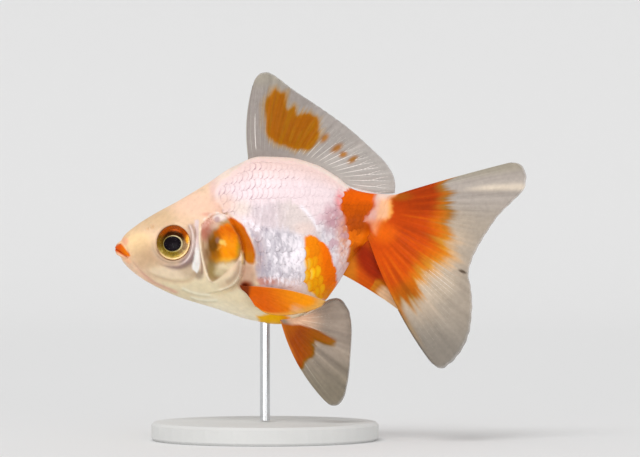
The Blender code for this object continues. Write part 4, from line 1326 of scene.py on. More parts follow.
def pale_scales(colour, x, z, a, b, chance):
    """Scales of the silver and white areas: mauve edges, partly pigment and partly painted shadow, a painted
    highlight in each middle, and mottling with painted sparkle in front of the tail stem.
    """
    from_edge = scale_tip(b) - a
    hidden_front = smoothstep(0.75, 1.25, from_edge)
    rim = smoothstep(0.16, 0.02, from_edge)
    edge_darkness = edge_pigment_and_shadow_strength(x, z) * (1 - 0.9 * calmness(x, z, 0.2))
    edge_darkness = edge_darkness * np.clip(0.8 + 0.7 * chance, 0.1, 2.2)
    lower = 0.3 + 0.7 * smoothstep(0.1, 0.8, -b)
    lower = mix(lower, 0.1 + 1.3 * smoothstep(0.4, 0.9, -b), smoothstep(31, 35, x))
    # mauve at each scale's exposed front and free edge: partly pigment, partly painted shadow where the
    # scales overlap, strongest on their lower side
    pale = mix(colour, MAUVE_PIGMENT_AND_SHADOW, np.clip(hidden_front * edge_darkness * lower, 0, 1))
    pale = mix(pale, MAUVE_PIGMENT_AND_SHADOW, np.clip(rim * 0.6 * edge_darkness * lower, 0, 1))
    # painted highlight in the middle of each scale
    pale = mix(pale, np.minimum(colour * 1.06, 1.0), spot(a, b, (0.35, 0), (0.35, 0.5), 0.6) * 0.6)
    mottled = spot(x, z, (48.2, 1.6), (4.2, 7.4), 0.5)
    blotch = noise(x * 0.9, z * 0.7, seed=56) + 0.25 * chance
    fleck = noise(x * 3.0, z * 1.6, seed=57)
    shaded_rim = rim * smoothstep(0.2, 0.8, -b) * smoothstep(-0.4, 0.8, chance)
    # mottling before the tail stem: mauve blotches, white flecks of painted sparkle, and painted shade at the
    # lower free edges
    pale = mix(pale, rgb(204, 158, 170), mottled * smoothstep(0.0, 0.7, blotch) * 0.7)
    pale = mix(pale, rgb(250, 240, 244), mottled * smoothstep(0.0, 1.0, fleck - 0.6 * blotch) * 0.65)
    pale = mix(pale, rgb(160, 116, 132), mottled * shaded_rim * 0.7)
    return pale * (1 + 0.02 * chance)[..., None]


def golden_scales(marked, x, z, a, b, chance):
    """Scales of the orange patches: yellow middles on the flank, partly pigment and partly painted highlight,
    pale painted highlights on their front edges at the patch's front, and darker fronts, partly painted
    shadow, most near the tail.
    """
    from_edge = scale_tip(b) - a
    hidden_front = smoothstep(0.75, 1.25, from_edge)
    rim = smoothstep(0.16, 0.02, from_edge)
    golden = spot(x + 0.25 * (z + 6), z, (43.5, -6.4), (2.0, 4.8), 0.45)
    varied = np.clip(0.75 + 0.25 * chance, 0.3, 1)
    gold = mix(marked, rgb(255, 162, 0), golden * 0.9)
    # yellow middles: partly pigment, partly painted highlight
    gold = mix(gold, rgb(255, 204, 24), golden * varied * spot(a, b, (0.35, 0), (0.5, 0.75), 0.7))
    # darker orange at each scale's front and free edge: partly pigment, partly painted shadow where the
    # scales overlap
    gold = mix(gold, rgb(240, 128, 2), (hidden_front * 0.4 + rim * 0.10) * golden)
    # painted highlight on the front edges of the scales at the patch's front
    edge_highlight = golden * spot(a, b, (0.05, 0), (0.3, 0.7), 0.8) * smoothstep(44.4, 42.9, x)
    gold = mix(gold, rgb(255, 216, 110), edge_highlight * varied)
    # darker exposed fronts near the tail, partly painted shadow where the scales overlap
    gold = dim(gold, 0.8, hidden_front * 0.35 * smoothstep(48, 49.5, x))
    return gold * (1 + 0.03 * chance)[..., None]


def scale_colours(base, centre, a, b, chance):
    """Colours of all scales, and where they are orange. Each scale takes its markings mostly whole."""
    x, y, z = base[..., 0], base[..., 1], base[..., 2]
    x_whole, z_whole = centre[:, 0, None, None] + 0 * a, centre[:, 2, None, None] + 0 * a
    colour = silver_streaks(trunk_colour(x, z, y), x, z, y)
    whole = mix(0.1, 0.5, smoothstep(48.5, 50.0, x_whole))
    whole = np.maximum(whole, 0.5 * smoothstep(43.2, 42.4, x_whole))
    x_mark, z_mark = mix(x, x_whole, whole), mix(z, z_whole, whole)
    wobble = 0.35 * cloud(centre[:, 0] * 0.9, centre[:, 2] * 0.9, seed=52)
    masks = orange_masks(x_mark, z_mark, wobble[:, None, None])
    marked = orange_marks(colour, x_mark, z_mark, masks)
    orange = np.maximum.reduce(masks)
    pale = pale_scales(colour, x, z, a, b, chance)
    return mix(pale, golden_scales(marked, x_whole, z_whole, a, b, chance), orange), orange


# -------------------------------------------------------------------------- eyes
EYE_RINGS, EYE_TURNS = 44, 96
PUPIL_RADIUS = 1.86
PUPIL_OFFSET = (-0.06, -0.30)
PUPIL_SHAPE = (0.92, 1.10)  # wider than high


def eye_frame():
    """Centre of the left eye on the skin, and its outward, tailward and upward directions."""
    step = 0.5
    y = body_y(EYE_X, EYE_Z)
    slope_x = (body_y(EYE_X + step, EYE_Z) - body_y(EYE_X - step, EYE_Z)) / (2 * step)
    slope_z = (body_y(EYE_X, EYE_Z + step) - body_y(EYE_X, EYE_Z - step)) / (2 * step)
    out = np.array((-slope_x, -1.0, -slope_z))
    out /= np.linalg.norm(out)
    tailward = np.cross((0, 0, 1.0), out)
    tailward /= np.linalg.norm(tailward)
    if tailward[0] < 0:
        tailward = -tailward
    upward = np.cross(out, tailward)
    if upward[2] < 0:
        upward = -upward
    return np.array((EYE_X, -float(y), EYE_Z)), out, tailward, upward


def pupil_distance(p, q):
    """Distance from the middle of the pupil, measured so that its edge is at PUPIL_RADIUS."""
    return np.hypot((p - PUPIL_OFFSET[0]) * PUPIL_SHAPE[0], (q - PUPIL_OFFSET[1]) * PUPIL_SHAPE[1])


def eye_colours(p, q):
    """Colours of iris and pupil, and where the iris is pearly. p runs towards the tail and q up."""
    radius = np.hypot(p, q)
    pupil = pupil_distance(p, q)
    turn = np.arctan2(q, p)
    fleck = cloud(p * 1.6, q * 1.6, seed=61, octaves=4)
    top = smoothstep(0.05, 0.75, np.sin(turn) + 0.1 * np.cos(turn))
    low = smoothstep(0.1, -0.8, np.sin(turn))
    rear = smoothstep(0.3, 0.9, np.cos(turn))
    outer = smoothstep(2.35, 3.0, radius + 0.25 * fleck)
    colour = paint_all(
        mix(rgb(92, 62, 6), rgb(118, 86, 20), outer),
        (mix(rgb(138, 110, 26), rgb(160, 132, 56), outer), low),
        (rgb(158, 126, 92), rear * (1 - top) * 0.9),
        (mix(rgb(60, 26, 2), rgb(160, 68, 2), outer), top),
    )
    colour = dim(colour, 0.5, smoothstep(0.1, 0.7, fleck) * 0.6)
    facing = smoothstep(0.25, -0.6, np.sin(turn) - 0.4 * np.cos(turn))
    lower_rim = smoothstep(EYE_RADIUS - 0.30 - 0.18 * facing, EYE_RADIUS - 0.20 - 0.10 * facing, radius)
    wide = 0.17 + 0.07 * np.cos(turn)
    ring_light = mix(rgb(186, 168, 96), rgb(212, 194, 150), smoothstep(-0.6, 0.8, np.cos(turn - 0.5)))
    colour = paint_all(
        colour,
        (rgb(206, 186, 104), smoothstep(0.2, 0.7, -fleck) * low * 0.6),
        # painted highlight: an orange glint near the rear edge of the iris
        (rgb(248, 166, 44), spot(p, q, (3.2, 0.75), (0.45, 0.85), 0.5)),
        (rgb(220, 188, 136), lower_rim * facing),
        (ring_light, smoothstep(wide + 0.06, wide - 0.06, pupil - PUPIL_RADIUS)),
        (rgb(20, 12, 18), smoothstep(PUPIL_RADIUS + 0.06, PUPIL_RADIUS - 0.06, pupil)),
        (rgb(130, 84, 44), smoothstep(EYE_RADIUS - 0.12, EYE_RADIUS + 0.02, radius)),
    )
    return colour, (pupil > PUPIL_RADIUS).astype(float)


def dome(rings, turns, reach):
    """Radius and turn of each point of a round grid."""
    r = np.linspace(0.001, 1, rings)[:, None] * reach
    turn = 2 * math.pi * np.arange(turns)[None, :] / turns
    return r + 0 * turn, turn + 0 * r


def make_eyes(iris_material, clear_material):
    """Each eye is rounded behind and carries iris and pupil in front, under a clear dome."""
    centre, out, tailward, upward = eye_frame()
    radius, turn = dome(EYE_RINGS, EYE_TURNS, EYE_RADIUS + 0.12)
    p, q = radius * np.cos(turn), radius * np.sin(turn)
    surface = centre + p[..., None] * tailward + q[..., None] * upward
    iris = mix(-0.30, 0.10, smoothstep(EYE_RADIUS, PUPIL_RADIUS, radius)) - 0.10 * bump(radius - 2.9, 0.4)
    lens = 0.34 * np.sqrt(np.clip(1 - (pupil_distance(p, q) / (PUPIL_RADIUS + 0.05)) ** 2, 0, 1))
    ball = -1.9 * np.sqrt(1.001 - (radius / radius.max()) ** 2) - 0.5
    rise = (1 - (radius / radius.max()) ** 2) ** 0.85
    heights = (iris + lens, ball, -0.20 + 1.01 * rise, -0.26 + 0.98 * rise)
    front, inner, clear_top, clear_under = (surface + height[..., None] * out for height in heights)
    values = dict(zip(("colour", "pearl"), both_sides(*eye_colours(p, q))))

    for word, side in SIDES:
        mirror = np.array((1.0, -side, 1.0))
        verts, faces = closed_dome(front * mirror, inner * mirror)
        new_piece(f"eye_{word}_iris", verts, faces, iris_material, (f"eye_{word}",), None, values)
        verts, faces = closed_dome(clear_top * mirror, clear_under * mirror)
        new_piece(f"eye_{word}_cornea", verts, faces, clear_material, ())


def closed_dome(front, rear):
    """A closed solid from two round grids that meet at their rims. Centres are shut by small faces."""
    rings, turns = front.shape[:2]
    quads, _ = grid_faces(rings, turns, closed=True)
    size = rings * turns
    rim = np.arange(turns) + (rings - 1) * turns
    after = np.roll(rim, -1)
    sides = np.stack((rim, rim + size, after + size, after), -1)[:, ::-1]
    caps = np.array([(k, k + 1, turns - 2 - k, turns - 1 - k) for k in range(turns // 2 - 1)])
    faces = np.concatenate((quads, quads[:, ::-1] + size, sides, caps[:, ::-1], caps + size))
    return np.stack((front, rear)).reshape(-1, 3), faces


# -------------------------------------------------------------------------- fins
DORSAL_RAYS = 27
WEB_HALF = 0.10  # half a web's thickness, before it thins from root to margin
RAY_SIDES = 6
RAY_SWELL = 0.25  # how much thicker a ray is where it is pale
JOINT_LENGTH = 0.8  # between the joints of a ray
RAY_TINT = np.array((1.12, 1.25, 1.1))  # a ray's colour against the web's


class Fin:
    """A fin as a sheet: u runs across the rays and v along them, from root to margin.

    root(u) and margin(u) give its ends in the side view, bow(u) how far the rays bend between them,
    and y(u, v) its place across the body. Each ray splits at the two shares of its length in branch,
    and contrast says how much the rays and folds show in the fin's colour.
    """

    def __init__(
        self, name, shape, rays, paint_fin, slot, ray_light,
        bury=0.6, branch=(0.42, 0.66), ray_radius=0.17, contrast=1.0,
    ):
        self.name, self.rays, self.slot = name, rays, slot
        self.root, self.margin, self.bow, self.y = shape
        self.paint_fin, self.ray_light = paint_fin, ray_light
        self.bury, self.branch = bury, branch
        self.ray_radius, self.contrast = ray_radius, contrast
        self.unbranched = 1 if rays < 10 else 2  # so many of the first rays don't split

    def point(self, u, v):
        """The sheet's middle surface. v under 0 lies in the body, down to the depth of bury."""
        start, end = self.root(u), self.margin(u)
        chord = end - start
        length = np.linalg.norm(chord, axis=-1)
        chord = chord / length[..., None]
        v = np.where(v < 0, v * self.bury / length, v)
        lift = self.bow(u) * 4 * v * (1 - v) * (v > 0)
        flat = start + (end - start) * v[..., None]
        x, z = flat[..., 0] - chord[..., 1] * lift, flat[..., 1] + chord[..., 0] * lift
        return np.stack((x, self.y(u, np.maximum(v, 0)), z), -1)

    def normal(self, u, v):
        """Direction across the sheet at each place."""
        step = 0.01
        along = self.point(u, np.minimum(v + step, 1)) - self.point(u, np.maximum(v - step, 0))
        across = self.point(np.minimum(u + step, 1), v) - self.point(np.maximum(u - step, 0), v)
        normal = np.cross(along, across)
        return normal / np.linalg.norm(normal, axis=-1, keepdims=True)


# How pale a ray is at each place, from 0 to 1.
def plain_ray_light(u, v, x, z):
    return 0.3 + 0.3 * (1 - v)


def pelvic_ray_light(u, v, x, z):
    return 0.12 + 0.25 * bump(v - 0.3, 0.3)


def dorsal_ray_light(u, v, x, z):
    """The rays are whitest in the rear half, further out the further back, and in one near the front."""
    middle = mix(0.16, 0.52, smoothstep(0.42, 0.95, u)) + 0.10 * noise(u * (DORSAL_RAYS - 1), 0.5, seed=97)
    rear = smoothstep(0.34, 0.5, u) * bump(v - middle, mix(0.24, 0.36, u))
    front = bump(u - 2 / (DORSAL_RAYS - 1), 0.012) * smoothstep(0.55, 0.42, v)
    rear = rear * mix(0.5, 1.3, smoothstep(0.5, 0.85, u))
    return 0.15 + 0.85 * np.maximum(rear, front)


def tail_ray_light(u, v, x, z):
    """White rays show just beyond the orange in the lower half, and fainter ones elsewhere."""
    uneven = np.clip(0.62 + 0.75 * noise(u * 30, 0.5, seed=98), 0.1, 1.0)
    return 0.12 + 0.88 * spot(x, z, (70.4, -6.8), (4.2, 3.4), 0.5) * uneven


def tail_fold(u, v, width):
    """The crease near the upper edge of the tail, where it folds over."""
    return bump(u - 0.085 - 0.05 * v, width)


def dorsal_fin():
    """The fin on the back: one sheet, highest in front, whose rear tip hangs over the tail stem."""
    def root(u):
        x = 29.4 + 22.8 * u
        return np.stack((x, back(x) + 0.3), -1)

    margin = path((
        (30.2, 35.6), (30.8, 37.4), (32.0, 38.7), (33.6, 38.9), (35.4, 38.0), (39.2, 35.1), (45.6, 30.8),
        (51.5, 26.5), (57.3, 21.3), (59.6, 18.9), (61.2, 16.3), (61.7, 14.2), (61.6, 12.3),
    ))

    def bow(u):
        return 0.8 * (1 - u) ** 2 - 0.2 * u - 0.45 * u**12

    def wave(u, v):
        return 0.7 * v * v * np.sin(2.6 * math.pi * u + 0.6)

    return Fin(
        "dorsal_fin", (root, margin, bow, wave), DORSAL_RAYS, dorsal_colour, "clear_fin", dorsal_ray_light,
        branch=(0.5, 0.8), contrast=0.8,
    )


def tail_fin(word, side):
    """Half of the double tail: it spreads sideways towards its lower lobe."""
    root = path(((61.7, 11.8), (60.3, 8.3), (58.5, 4.8), (56.2, 1.2)))
    margin = path((
        (87.0, 19.0), (88.8, 18.7), (90.0, 17.3), (90.3, 15.3), (89.7, 13.0), (87.9, 11.0), (84.5, 7.7),
        (81.9, 4.2), (79.3, 0.0), (77.5, -5.0), (78.1, -9.0), (78.2, -13.5), (77.4, -18.6), (75.7, -22.0),
        (73.8, -24.4), (72.1, -25.7), (70.7, -25.8), (69.7, -25.0),
    ))

    def bow(u):
        return 0.2 - 1.4 * u**3

    def flare(u, v):
        spread = 0.85 + 0.5 * u + v**1.15 * (1.75 + 9.4 * u**1.3)
        spread = spread + 0.5 * v * v * np.sin(5 * math.pi * u)
        return side * (spread + 0.55 * tail_fold(u, v, 0.03) * smoothstep(0.35, 0.7, v))

    return Fin(
        f"tail_fin_{word}", (root, margin, bow, flare), 23, tail_colour, "orange_fin", tail_ray_light,
        bury=1.6, branch=(0.24, 0.80), contrast=0.6,
    )


def anal_fin(word, side):
    """One of the pair of small fins behind the vent."""
    def root(u):
        x = 50.3 + 6.7 * u
        return np.stack((x, belly(x) + 0.1), -1)

    margin = path(((63.6, -14.3), (64.9, -13.4), (64.6, -10.6), (63.6, -6.6), (61.8, -3.0)))

    def bow(u):
        return 0.35 * (1 - u)

    def splay(u, v):
        return side * (0.75 + 0.9 * v)

    shape = root, margin, bow, splay
    return Fin(f"anal_fin_{word}", shape, 6, anal_colour, "orange_fin", plain_ray_light, bury=1.6)


def pelvic_fin(word, side):
    """A belly fin: it hangs down and back and stands away from the body at its tip."""
    root = path(((36.7, -16.0), (38.8, -15.6), (40.8, -14.9)))
    margin = path((
        (46.3, -33.2), (47.6, -34.1), (49.1, -33.9), (50.3, -32.4), (51.2, -28.5), (51.8, -22.0),
        (52.0, -17.4), (51.6, -14.2), (50.4, -12.0), (48.9, -11.0), (47.2, -11.3),
    ))

    def bow(u):
        return -1.3 * (1 - u) ** 2

    def splay(u, v):
        start = root(u)
        return side * (body_y(start[..., 0], start[..., 1]) + 0.75 + v * (3.4 + 2.2 * u))

    shape = root, margin, bow, splay
    return Fin(f"pelvic_fin_{word}", shape, 11, pelvic_colour, "clear_fin", pelvic_ray_light, bury=1.4)


def pectoral_fin(word, side):
    """The fin behind the gill cover, laid back along the body."""
    root = path(((28.9, -8.1), (29.2, -9.2), (29.7, -10.2)))
    margin = path((
        (46.4, -11.3), (45.3, -12.5), (41.6, -13.8), (37.2, -14.4), (33.4, -13.9), (31.0, -12.4),
    ))

    def bow(u):
        return 0.9 * (1 - u)

    def splay(u, v):
        start = root(u)
        stand_off = body_y(start[..., 0], start[..., 1]) + 0.65
        return side * (stand_off + 1.9 * v**0.7 * (1 - 0.35 * u))

    return Fin(
        f"pectoral_fin_{word}", (root, margin, bow, splay), 12, pectoral_colour, "orange_fin",
        plain_ray_light, bury=1.2, ray_radius=0.10, contrast=0.2,
    )


def ray_streaks(u, v, lines, seed):
    """Noise drawn out along the rays, which makes the edges of a marking jagged. More lines make it finer."""
    coarse = noise(u * lines * 1.6, v * 3.0, seed=seed)
    return 0.7 * coarse + 0.5 * noise(u * lines * 4.0, v * 5.0, seed=seed + 1)


def dorsal_marks(x, z, edge):
    """Where the fin on the back is brown: its large patch, and a row of small slanting spots."""
    mask = smoothstep(-0.45, 0.5, edge)
    for at_x, at_z, long, short, slant in DORSAL_SPOTS:
        c, s = math.cos(math.radians(slant)), math.sin(math.radians(slant))
        p, q = (x - at_x) * c + (z - at_z) * s, (z - at_z) * c - (x - at_x) * s
        mask = np.maximum(mask, spot(p, q, (0, 0), (long, short), 0.7) * 0.9)
    return mask


def dorsal_colour(x, z, u, v):
    """Colour of the fin on the back, and how solid it is. The other fins' functions give the same."""
    streak = ray_streaks(u, v, DORSAL_RAYS, 71)
    edge = depth_inside(x, z, DORSAL_PATCH) + 0.35 * streak
    mask = dorsal_marks(x, z, edge)
    colour = mix(FIN_GREY, rgb(194, 186, 180), smoothstep(0.25, 0.9, u))
    colour = paint(colour, rgb(176, 168, 150), smoothstep(34, 38, z), 0.7)
    colour = dim(colour, 0.93, smoothstep(0.0, 0.7, streak))
    colour = paint(colour, rgb(186, 150, 100), smoothstep(-1.3, 0.1, edge + 0.5 * streak), 0.7)
    shade = mix(rgb(166, 93, 1), rgb(168, 104, 2), smoothstep(-0.1, 0.5, streak))
    shade = paint(shade, rgb(176, 118, 6), smoothstep(1.0, 0.0, edge), 0.5)
    return paint(colour, shade, mask), mix(0.86, 1.0, mask)


def tail_web(x, z, streak, edge):
    """The clear part of the tail: grey, warmer beside the orange, and darkest at the lower tip."""
    glow = smoothstep(-3.4, -0.9, edge) * smoothstep(3.0, 0.0, z) * smoothstep(-9.5, -7.0, z)
    colour = paint_all(
        mix(rgb(184, 170, 154), rgb(188, 177, 168), smoothstep(4.0, 12.0, z)),
        (rgb(212, 190, 166), smoothstep(-6.5, -0.5, edge) * smoothstep(12, 2, z), 0.8),
        (rgb(222, 202, 178), spot(x, z, (70.2, -6.8), (4.6, 4.2), 0.5), 0.7),
        (rgb(232, 184, 130), glow, 0.7),
        (rgb(176, 166, 150), smoothstep(15.0, 17.0, z - 0.15 * (x - 80))),
        (FIN_DARK, smoothstep(-11.0, -22.0, z), 0.9),
    )
    return dim(colour, 0.93, smoothstep(0.0, 0.7, streak))


def tail_orange(x, z, v, edge, long, tip):
    """The orange part of the tail, with lighter and darker lines along the rays."""
    light = smoothstep(0.1, 0.8, long) * smoothstep(0.08, 0.3, v) * (1 - tip)
    shade = paint_all(
        tail_shade(x, z),
        (rgb(214, 116, 6), smoothstep(6.0, 1.0, edge) * smoothstep(0.3, 0.45, v), 0.85),
        (rgb(172, 86, 4), tip, 0.85),
        (rgb(238, 118, 10), light, 0.4),
    )
    return dim(shade, 0.82, smoothstep(0.0, 0.7, -long) * smoothstep(0.05, 0.3, v))


def tail_colour(x, z, u, v):
    """The orange ends in long points along the rays, each with an ochre rim."""
    long = noise(u * 34, v * 1.0, seed=77) + 0.4 * noise(u * 70, v * 1.6, seed=78)
    reach = noise(u * 23, 0.5, seed=76) + 0.9 * noise(u * 48, 0.5, seed=79)
    reach = (reach + 0.7 * noise(u * 95, v, seed=80)) * smoothstep(0.25, 0.5, v)
    edge = depth_inside(x, z, TAIL_PATCH, 90) - 0.6 + 0.8 * long * smoothstep(0.3, 0.5, v) + 1.4 * reach
    ochre = smoothstep(-1.6, 1.2, edge)
    orange = smoothstep(-0.4, 3.2, edge + 0.8 * long)
    near_tip = smoothstep(-0.2, 1.6, edge + 0.8 * long) * spot(x, z, (63.0, -8.0), (4.5, 4.5), 0.5)
    tip = spot(x, z, (64.4, -11.0), (3.4, 3.6), 0.5)
    rim = mix(rgb(218, 146, 40), rgb(158, 110, 40), smoothstep(0, 8, z))
    lead = smoothstep(0.955, 0.99, u) * smoothstep(0.36, 0.5, v) * smoothstep(0.9, 0.6, v)
    lead_colour = mix(rgb(190, 116, 34), rgb(168, 138, 100), smoothstep(-12.0, -17.0, z))
    fleck = spot(x - 76.2 + 0.4 * (z + 4.9), z + 0.3 * (x - 76.2), (0, -4.9), (0.75, 0.34), 0.5)
    colour = paint_all(
        tail_web(x, z, ray_streaks(u, v, 17, 75), edge),
        # painted highlight: a pale line along the crease where the upper edge folds over
        (rgb(240, 224, 204), tail_fold(u, v, 0.016) * smoothstep(0.45, 0.75, v), 0.9),
        (mix(rim, rgb(176, 122, 44), tip), ochre),
        (tail_orange(x, z, v, edge, long, tip), np.maximum(orange, near_tip)),
        (lead_colour, lead),
        (rgb(72, 54, 38), fleck, 0.9),
    )
    return colour, mix(mix(0.84, 0.93, smoothstep(-12, -22, z)), 1.0, ochre)


def anal_colour(x, z, u, v):
    """Dark red at the root, partly painted shadow of the near half of the tail, with one pale streak out to
    the tip.
    """
    streak = ray_streaks(u, v, 6, 81)
    colour = vent_shade(x, z)
    distance, share = line_distance(x, z, ANAL_STREAK)
    pale = smoothstep(1.2, 0.4, distance + 0.7 * streak) * smoothstep(0.0, 0.25, share)
    colour = paint(colour, OCHRE, smoothstep(2.0, 1.0, distance + 0.5 * streak) * (v > 0.4), 0.7)
    colour = paint(colour, rgb(246, 204, 160), pale)
    return colour, mix(1.0, 0.93, pale)


def pelvic_web(u, v, z, streak):
    """The clear part of a belly fin: grey, with dark folds, light wedges and a pale root."""
    outer = smoothstep(0.35, 0.6, v)
    folds = bump(u - 0.36, 0.03) + bump(u - 0.24, 0.025) + 0.6 * bump(u - 0.62, 0.03)
    wedges = bump(u - 0.30, 0.035) + 0.7 * bump(u - 0.47, 0.03) + 0.5 * bump(u - 0.04, 0.03)
    colour = mix(rgb(170, 154, 140), rgb(134, 124, 108), smoothstep(-18, -31, z))
    colour = dim(colour, 1.10, smoothstep(0.1, 0.7, streak))
    colour = dim(colour, 0.80, np.clip(folds * outer, 0, 1))
    colour = dim(colour, 0.84, smoothstep(0.88, 0.96, v) * smoothstep(0.5, 0.7, u))
    colour = dim(colour, 1.22, np.clip(wedges * outer, 0, 1))
    colour = paint(colour, rgb(250, 208, 176), smoothstep(0.60, 0.1, v) * smoothstep(0.15, 0.5, u))
    return paint(colour, rgb(216, 192, 172), smoothstep(0.90, 0.98, u) * smoothstep(0.85, 0.6, v), 0.8)


def pelvic_colour(x, z, u, v):
    """A brown patch runs out from the root over the grey web."""
    streak = ray_streaks(u, v, 9, 85) * smoothstep(0.0, 0.3, v)
    edge = depth_inside(x, z, PELVIC_PATCH) + 0.45 * streak
    mask = smoothstep(-0.4, 0.45, edge)
    shade = mix(rgb(160, 70, 1), rgb(158, 86, 2), smoothstep(40, 45, x))
    shade = mix(shade, rgb(186, 96, 10), smoothstep(0.22, 0.05, v))
    shade = mix(rgb(136, 92, 6), shade, np.maximum(smoothstep(0.1, 1.0, edge), smoothstep(-21, -19, z)))
    colour = paint(pelvic_web(u, v, z, streak), shade, mask)
    colour = paint(colour, rgb(214, 122, 44), smoothstep(0.07, 0.02, u) * smoothstep(0.5, 0.3, v), 0.7)
    return colour, mix(0.90, 1.0, mask)


def pectoral_colour(x, z, u, v):
    """Orange, with a paler notch, a pale tip and a dark red root, partly pigment and partly painted shadow
    where the fin meets the body.
    """
    streak = ray_streaks(u, v, 12, 89) * smoothstep(0.0, 0.3, v)
    edge = depth_inside(x, z, PECTORAL_PATCH) + 0.35 * streak
    mask = smoothstep(-0.6, 0.6, edge)
    shade = mix(rgb(216, 94, 2), rgb(242, 146, 6), smoothstep(33, 43, x + 0.4 * (z + 12)))
    shade = dim(shade, 0.95, smoothstep(0.0, 0.7, streak))
    colour = paint_all(
        mix(rgb(236, 170, 128), rgb(228, 176, 120), smoothstep(40, 43, x)),
        (rgb(236, 150, 60), smoothstep(-1.6, 0.0, edge), 0.8),
        (shade, mask),
        (rgb(222, 166, 72), smoothstep(0.84, 0.97, v), 0.7),
        # dark red root, partly pigment and partly painted shadow
        (rgb(128, 50, 12), smoothstep(0.10, 0.02, v)),
    )
    return colour, mix(0.9, 1.0, mask)


def fin_waves(fin, u, v):
    """How far the web stands off its plain sheet: pleats at the rays, with folds and ripples between."""
    solid = np.clip(v, 0, 1)
    pleat = 0.07 * fin.contrast * np.cos(2 * math.pi * u * (fin.rays - 1)) * smoothstep(0.1, 0.5, solid)
    fold = 0.22 * noise(u * fin.rays * 0.42, v * 1.3, seed=93) * smoothstep(0.15, 0.8, solid)
    ripple = 0.07 * noise(u * fin.rays * 1.1, v * 4, seed=92) * solid
    return pleat + fold + ripple


def fin_shading(fin, u, v):
    """Light and dark lines that run out along the rays."""
    line = noise(u * fin.rays * 5.0, v * 1.6, seed=94)
    fold = noise(u * fin.rays * 0.9, v * 1.2, seed=95)
    return 1 + fin.contrast * (0.10 * line + 0.09 * fold) * smoothstep(0.02, 0.2, v)


def make_web(fin, material):
    """A thin closed web, whose margin dips between the rays."""
    columns = (fin.rays - 1) * (12 if fin.rays < 18 else 9) + 1
    rows = 110 if fin.rays > 10 else 80
    u = np.linspace(0, 1, columns)[None, :]
    between = np.sin(math.pi * u * (fin.rays - 1)) ** 2
    frayed = 0.5 + 0.5 * noise(u * (fin.rays - 1) * 2, 0.5, seed=91)
    reach = 1 - (0.001 + 0.005 * frayed) * between
    v = np.concatenate((np.linspace(-1, 0, 5)[:-1], np.linspace(0, 1, rows - 4)))[:, None]
    v = np.where(v > 0, v * reach, v + 0 * reach)
    u = u + 0 * v
    out = np.maximum(v, 0)
    normal = fin.normal(u, out)
    middle = fin.point(u, v) + normal * fin_waves(fin, u, v)[..., None]
    half = mix(WEB_HALF * 1.8, WEB_HALF * 0.6, np.clip(out, 0, 1) ** 0.6)[..., None]
    colour, opaque = fin.paint_fin(middle[..., 0], middle[..., 2], u, out)
    colour = colour * fin_shading(fin, u, out)[..., None]
    opaque = opaque * mix(1.0, 0.5, smoothstep(0.965, 1.0, v / reach))
    verts, faces = solid_sheets((middle + normal * half)[None], (middle - normal * half)[None])
    values = dict(zip(("colour", "solid"), both_sides(colour, opaque)))
    new_piece(f"{fin.name}_web", verts, faces, material, (fin.name,), None, values)


def ray_plan(fin):
    """Each tube of a fin's rays: its u, how far its two splits turn it, its ends, and its thicknesses."""
    gap = 1 / (fin.rays - 1)
    first, second = fin.branch
    for i in range(fin.rays):
        u = i * gap
        if i < fin.unbranched:
            yield u, 0, 0, -1.0, 0.985, 1.15, 0.35
            continue
        yield u, 0, 0, -1.0, first + 0.01, 1.0, 0.72
        for near in (-1, 1):
            if i == fin.rays - 1 and near > 0:
                continue
            yield u, near * gap / 4, 0, first, second + 0.01, 0.62, 0.5
            for far in (-1, 1):
                yield u, near * gap / 4, far * gap / 8, second, 0.975, 0.45, 0.24


def ray_tube(fin, u0, near, far, start, end, thick, thin):
    """One tube of a ray: its grid of points, and the colour and opacity of each."""
    first, second = fin.branch
    steps = max(6, int(60 * (end - max(start, 0))))
    v = np.linspace(start, end, steps)
    if start < 0:
        v = np.concatenate(((-1.0,), np.linspace(0, end, steps - 1)))
    spread = smoothstep(first, first + 0.28, v) * near + smoothstep(second, second + 0.4, v) * far
    u = np.clip(u0 + spread, 0, 1)
    out = np.clip(v, 0, 1)
    normal = fin.normal(u, out)
    middle = fin.point(u, v) + normal * fin_waves(fin, u, v)[..., None]
    along = np.gradient(middle, axis=0)
    along /= np.linalg.norm(along, axis=1, keepdims=True)
    across = np.cross(along, normal)
    length = np.linalg.norm(fin.margin(np.array([u0])) - fin.root(np.array([u0])))
    joints = 1 + 0.10 * np.cos(2 * math.pi * v * length / JOINT_LENGTH) * smoothstep(0.3, 0.5, v)
    colour, cover = fin.paint_fin(middle[:, 0], middle[:, 2], u, out)
    light = fin.ray_light(u, out, middle[:, 0], middle[:, 2])
    light = light * smoothstep(0.99, 0.93, cover) * smoothstep(0.03, 0.1, out)
    radius = fin.ray_radius * mix(thick, thin, np.linspace(0, 1, steps)) * joints * (1 + RAY_SWELL * light)
    turns = 2 * math.pi * np.arange(RAY_SIDES) / RAY_SIDES
    circle = normal[:, None] * np.cos(turns)[:, None] + across[:, None] * np.sin(turns)[:, None] * 0.8
    colour = mix(colour, colour * RAY_TINT + 0.01, 0.8 * fin.contrast)
    colour = mix(colour, RAY_PALE, np.clip(light, 0, 1))
    return middle[:, None] + circle * radius[:, None, None], colour, mix(1.0, cover, out)


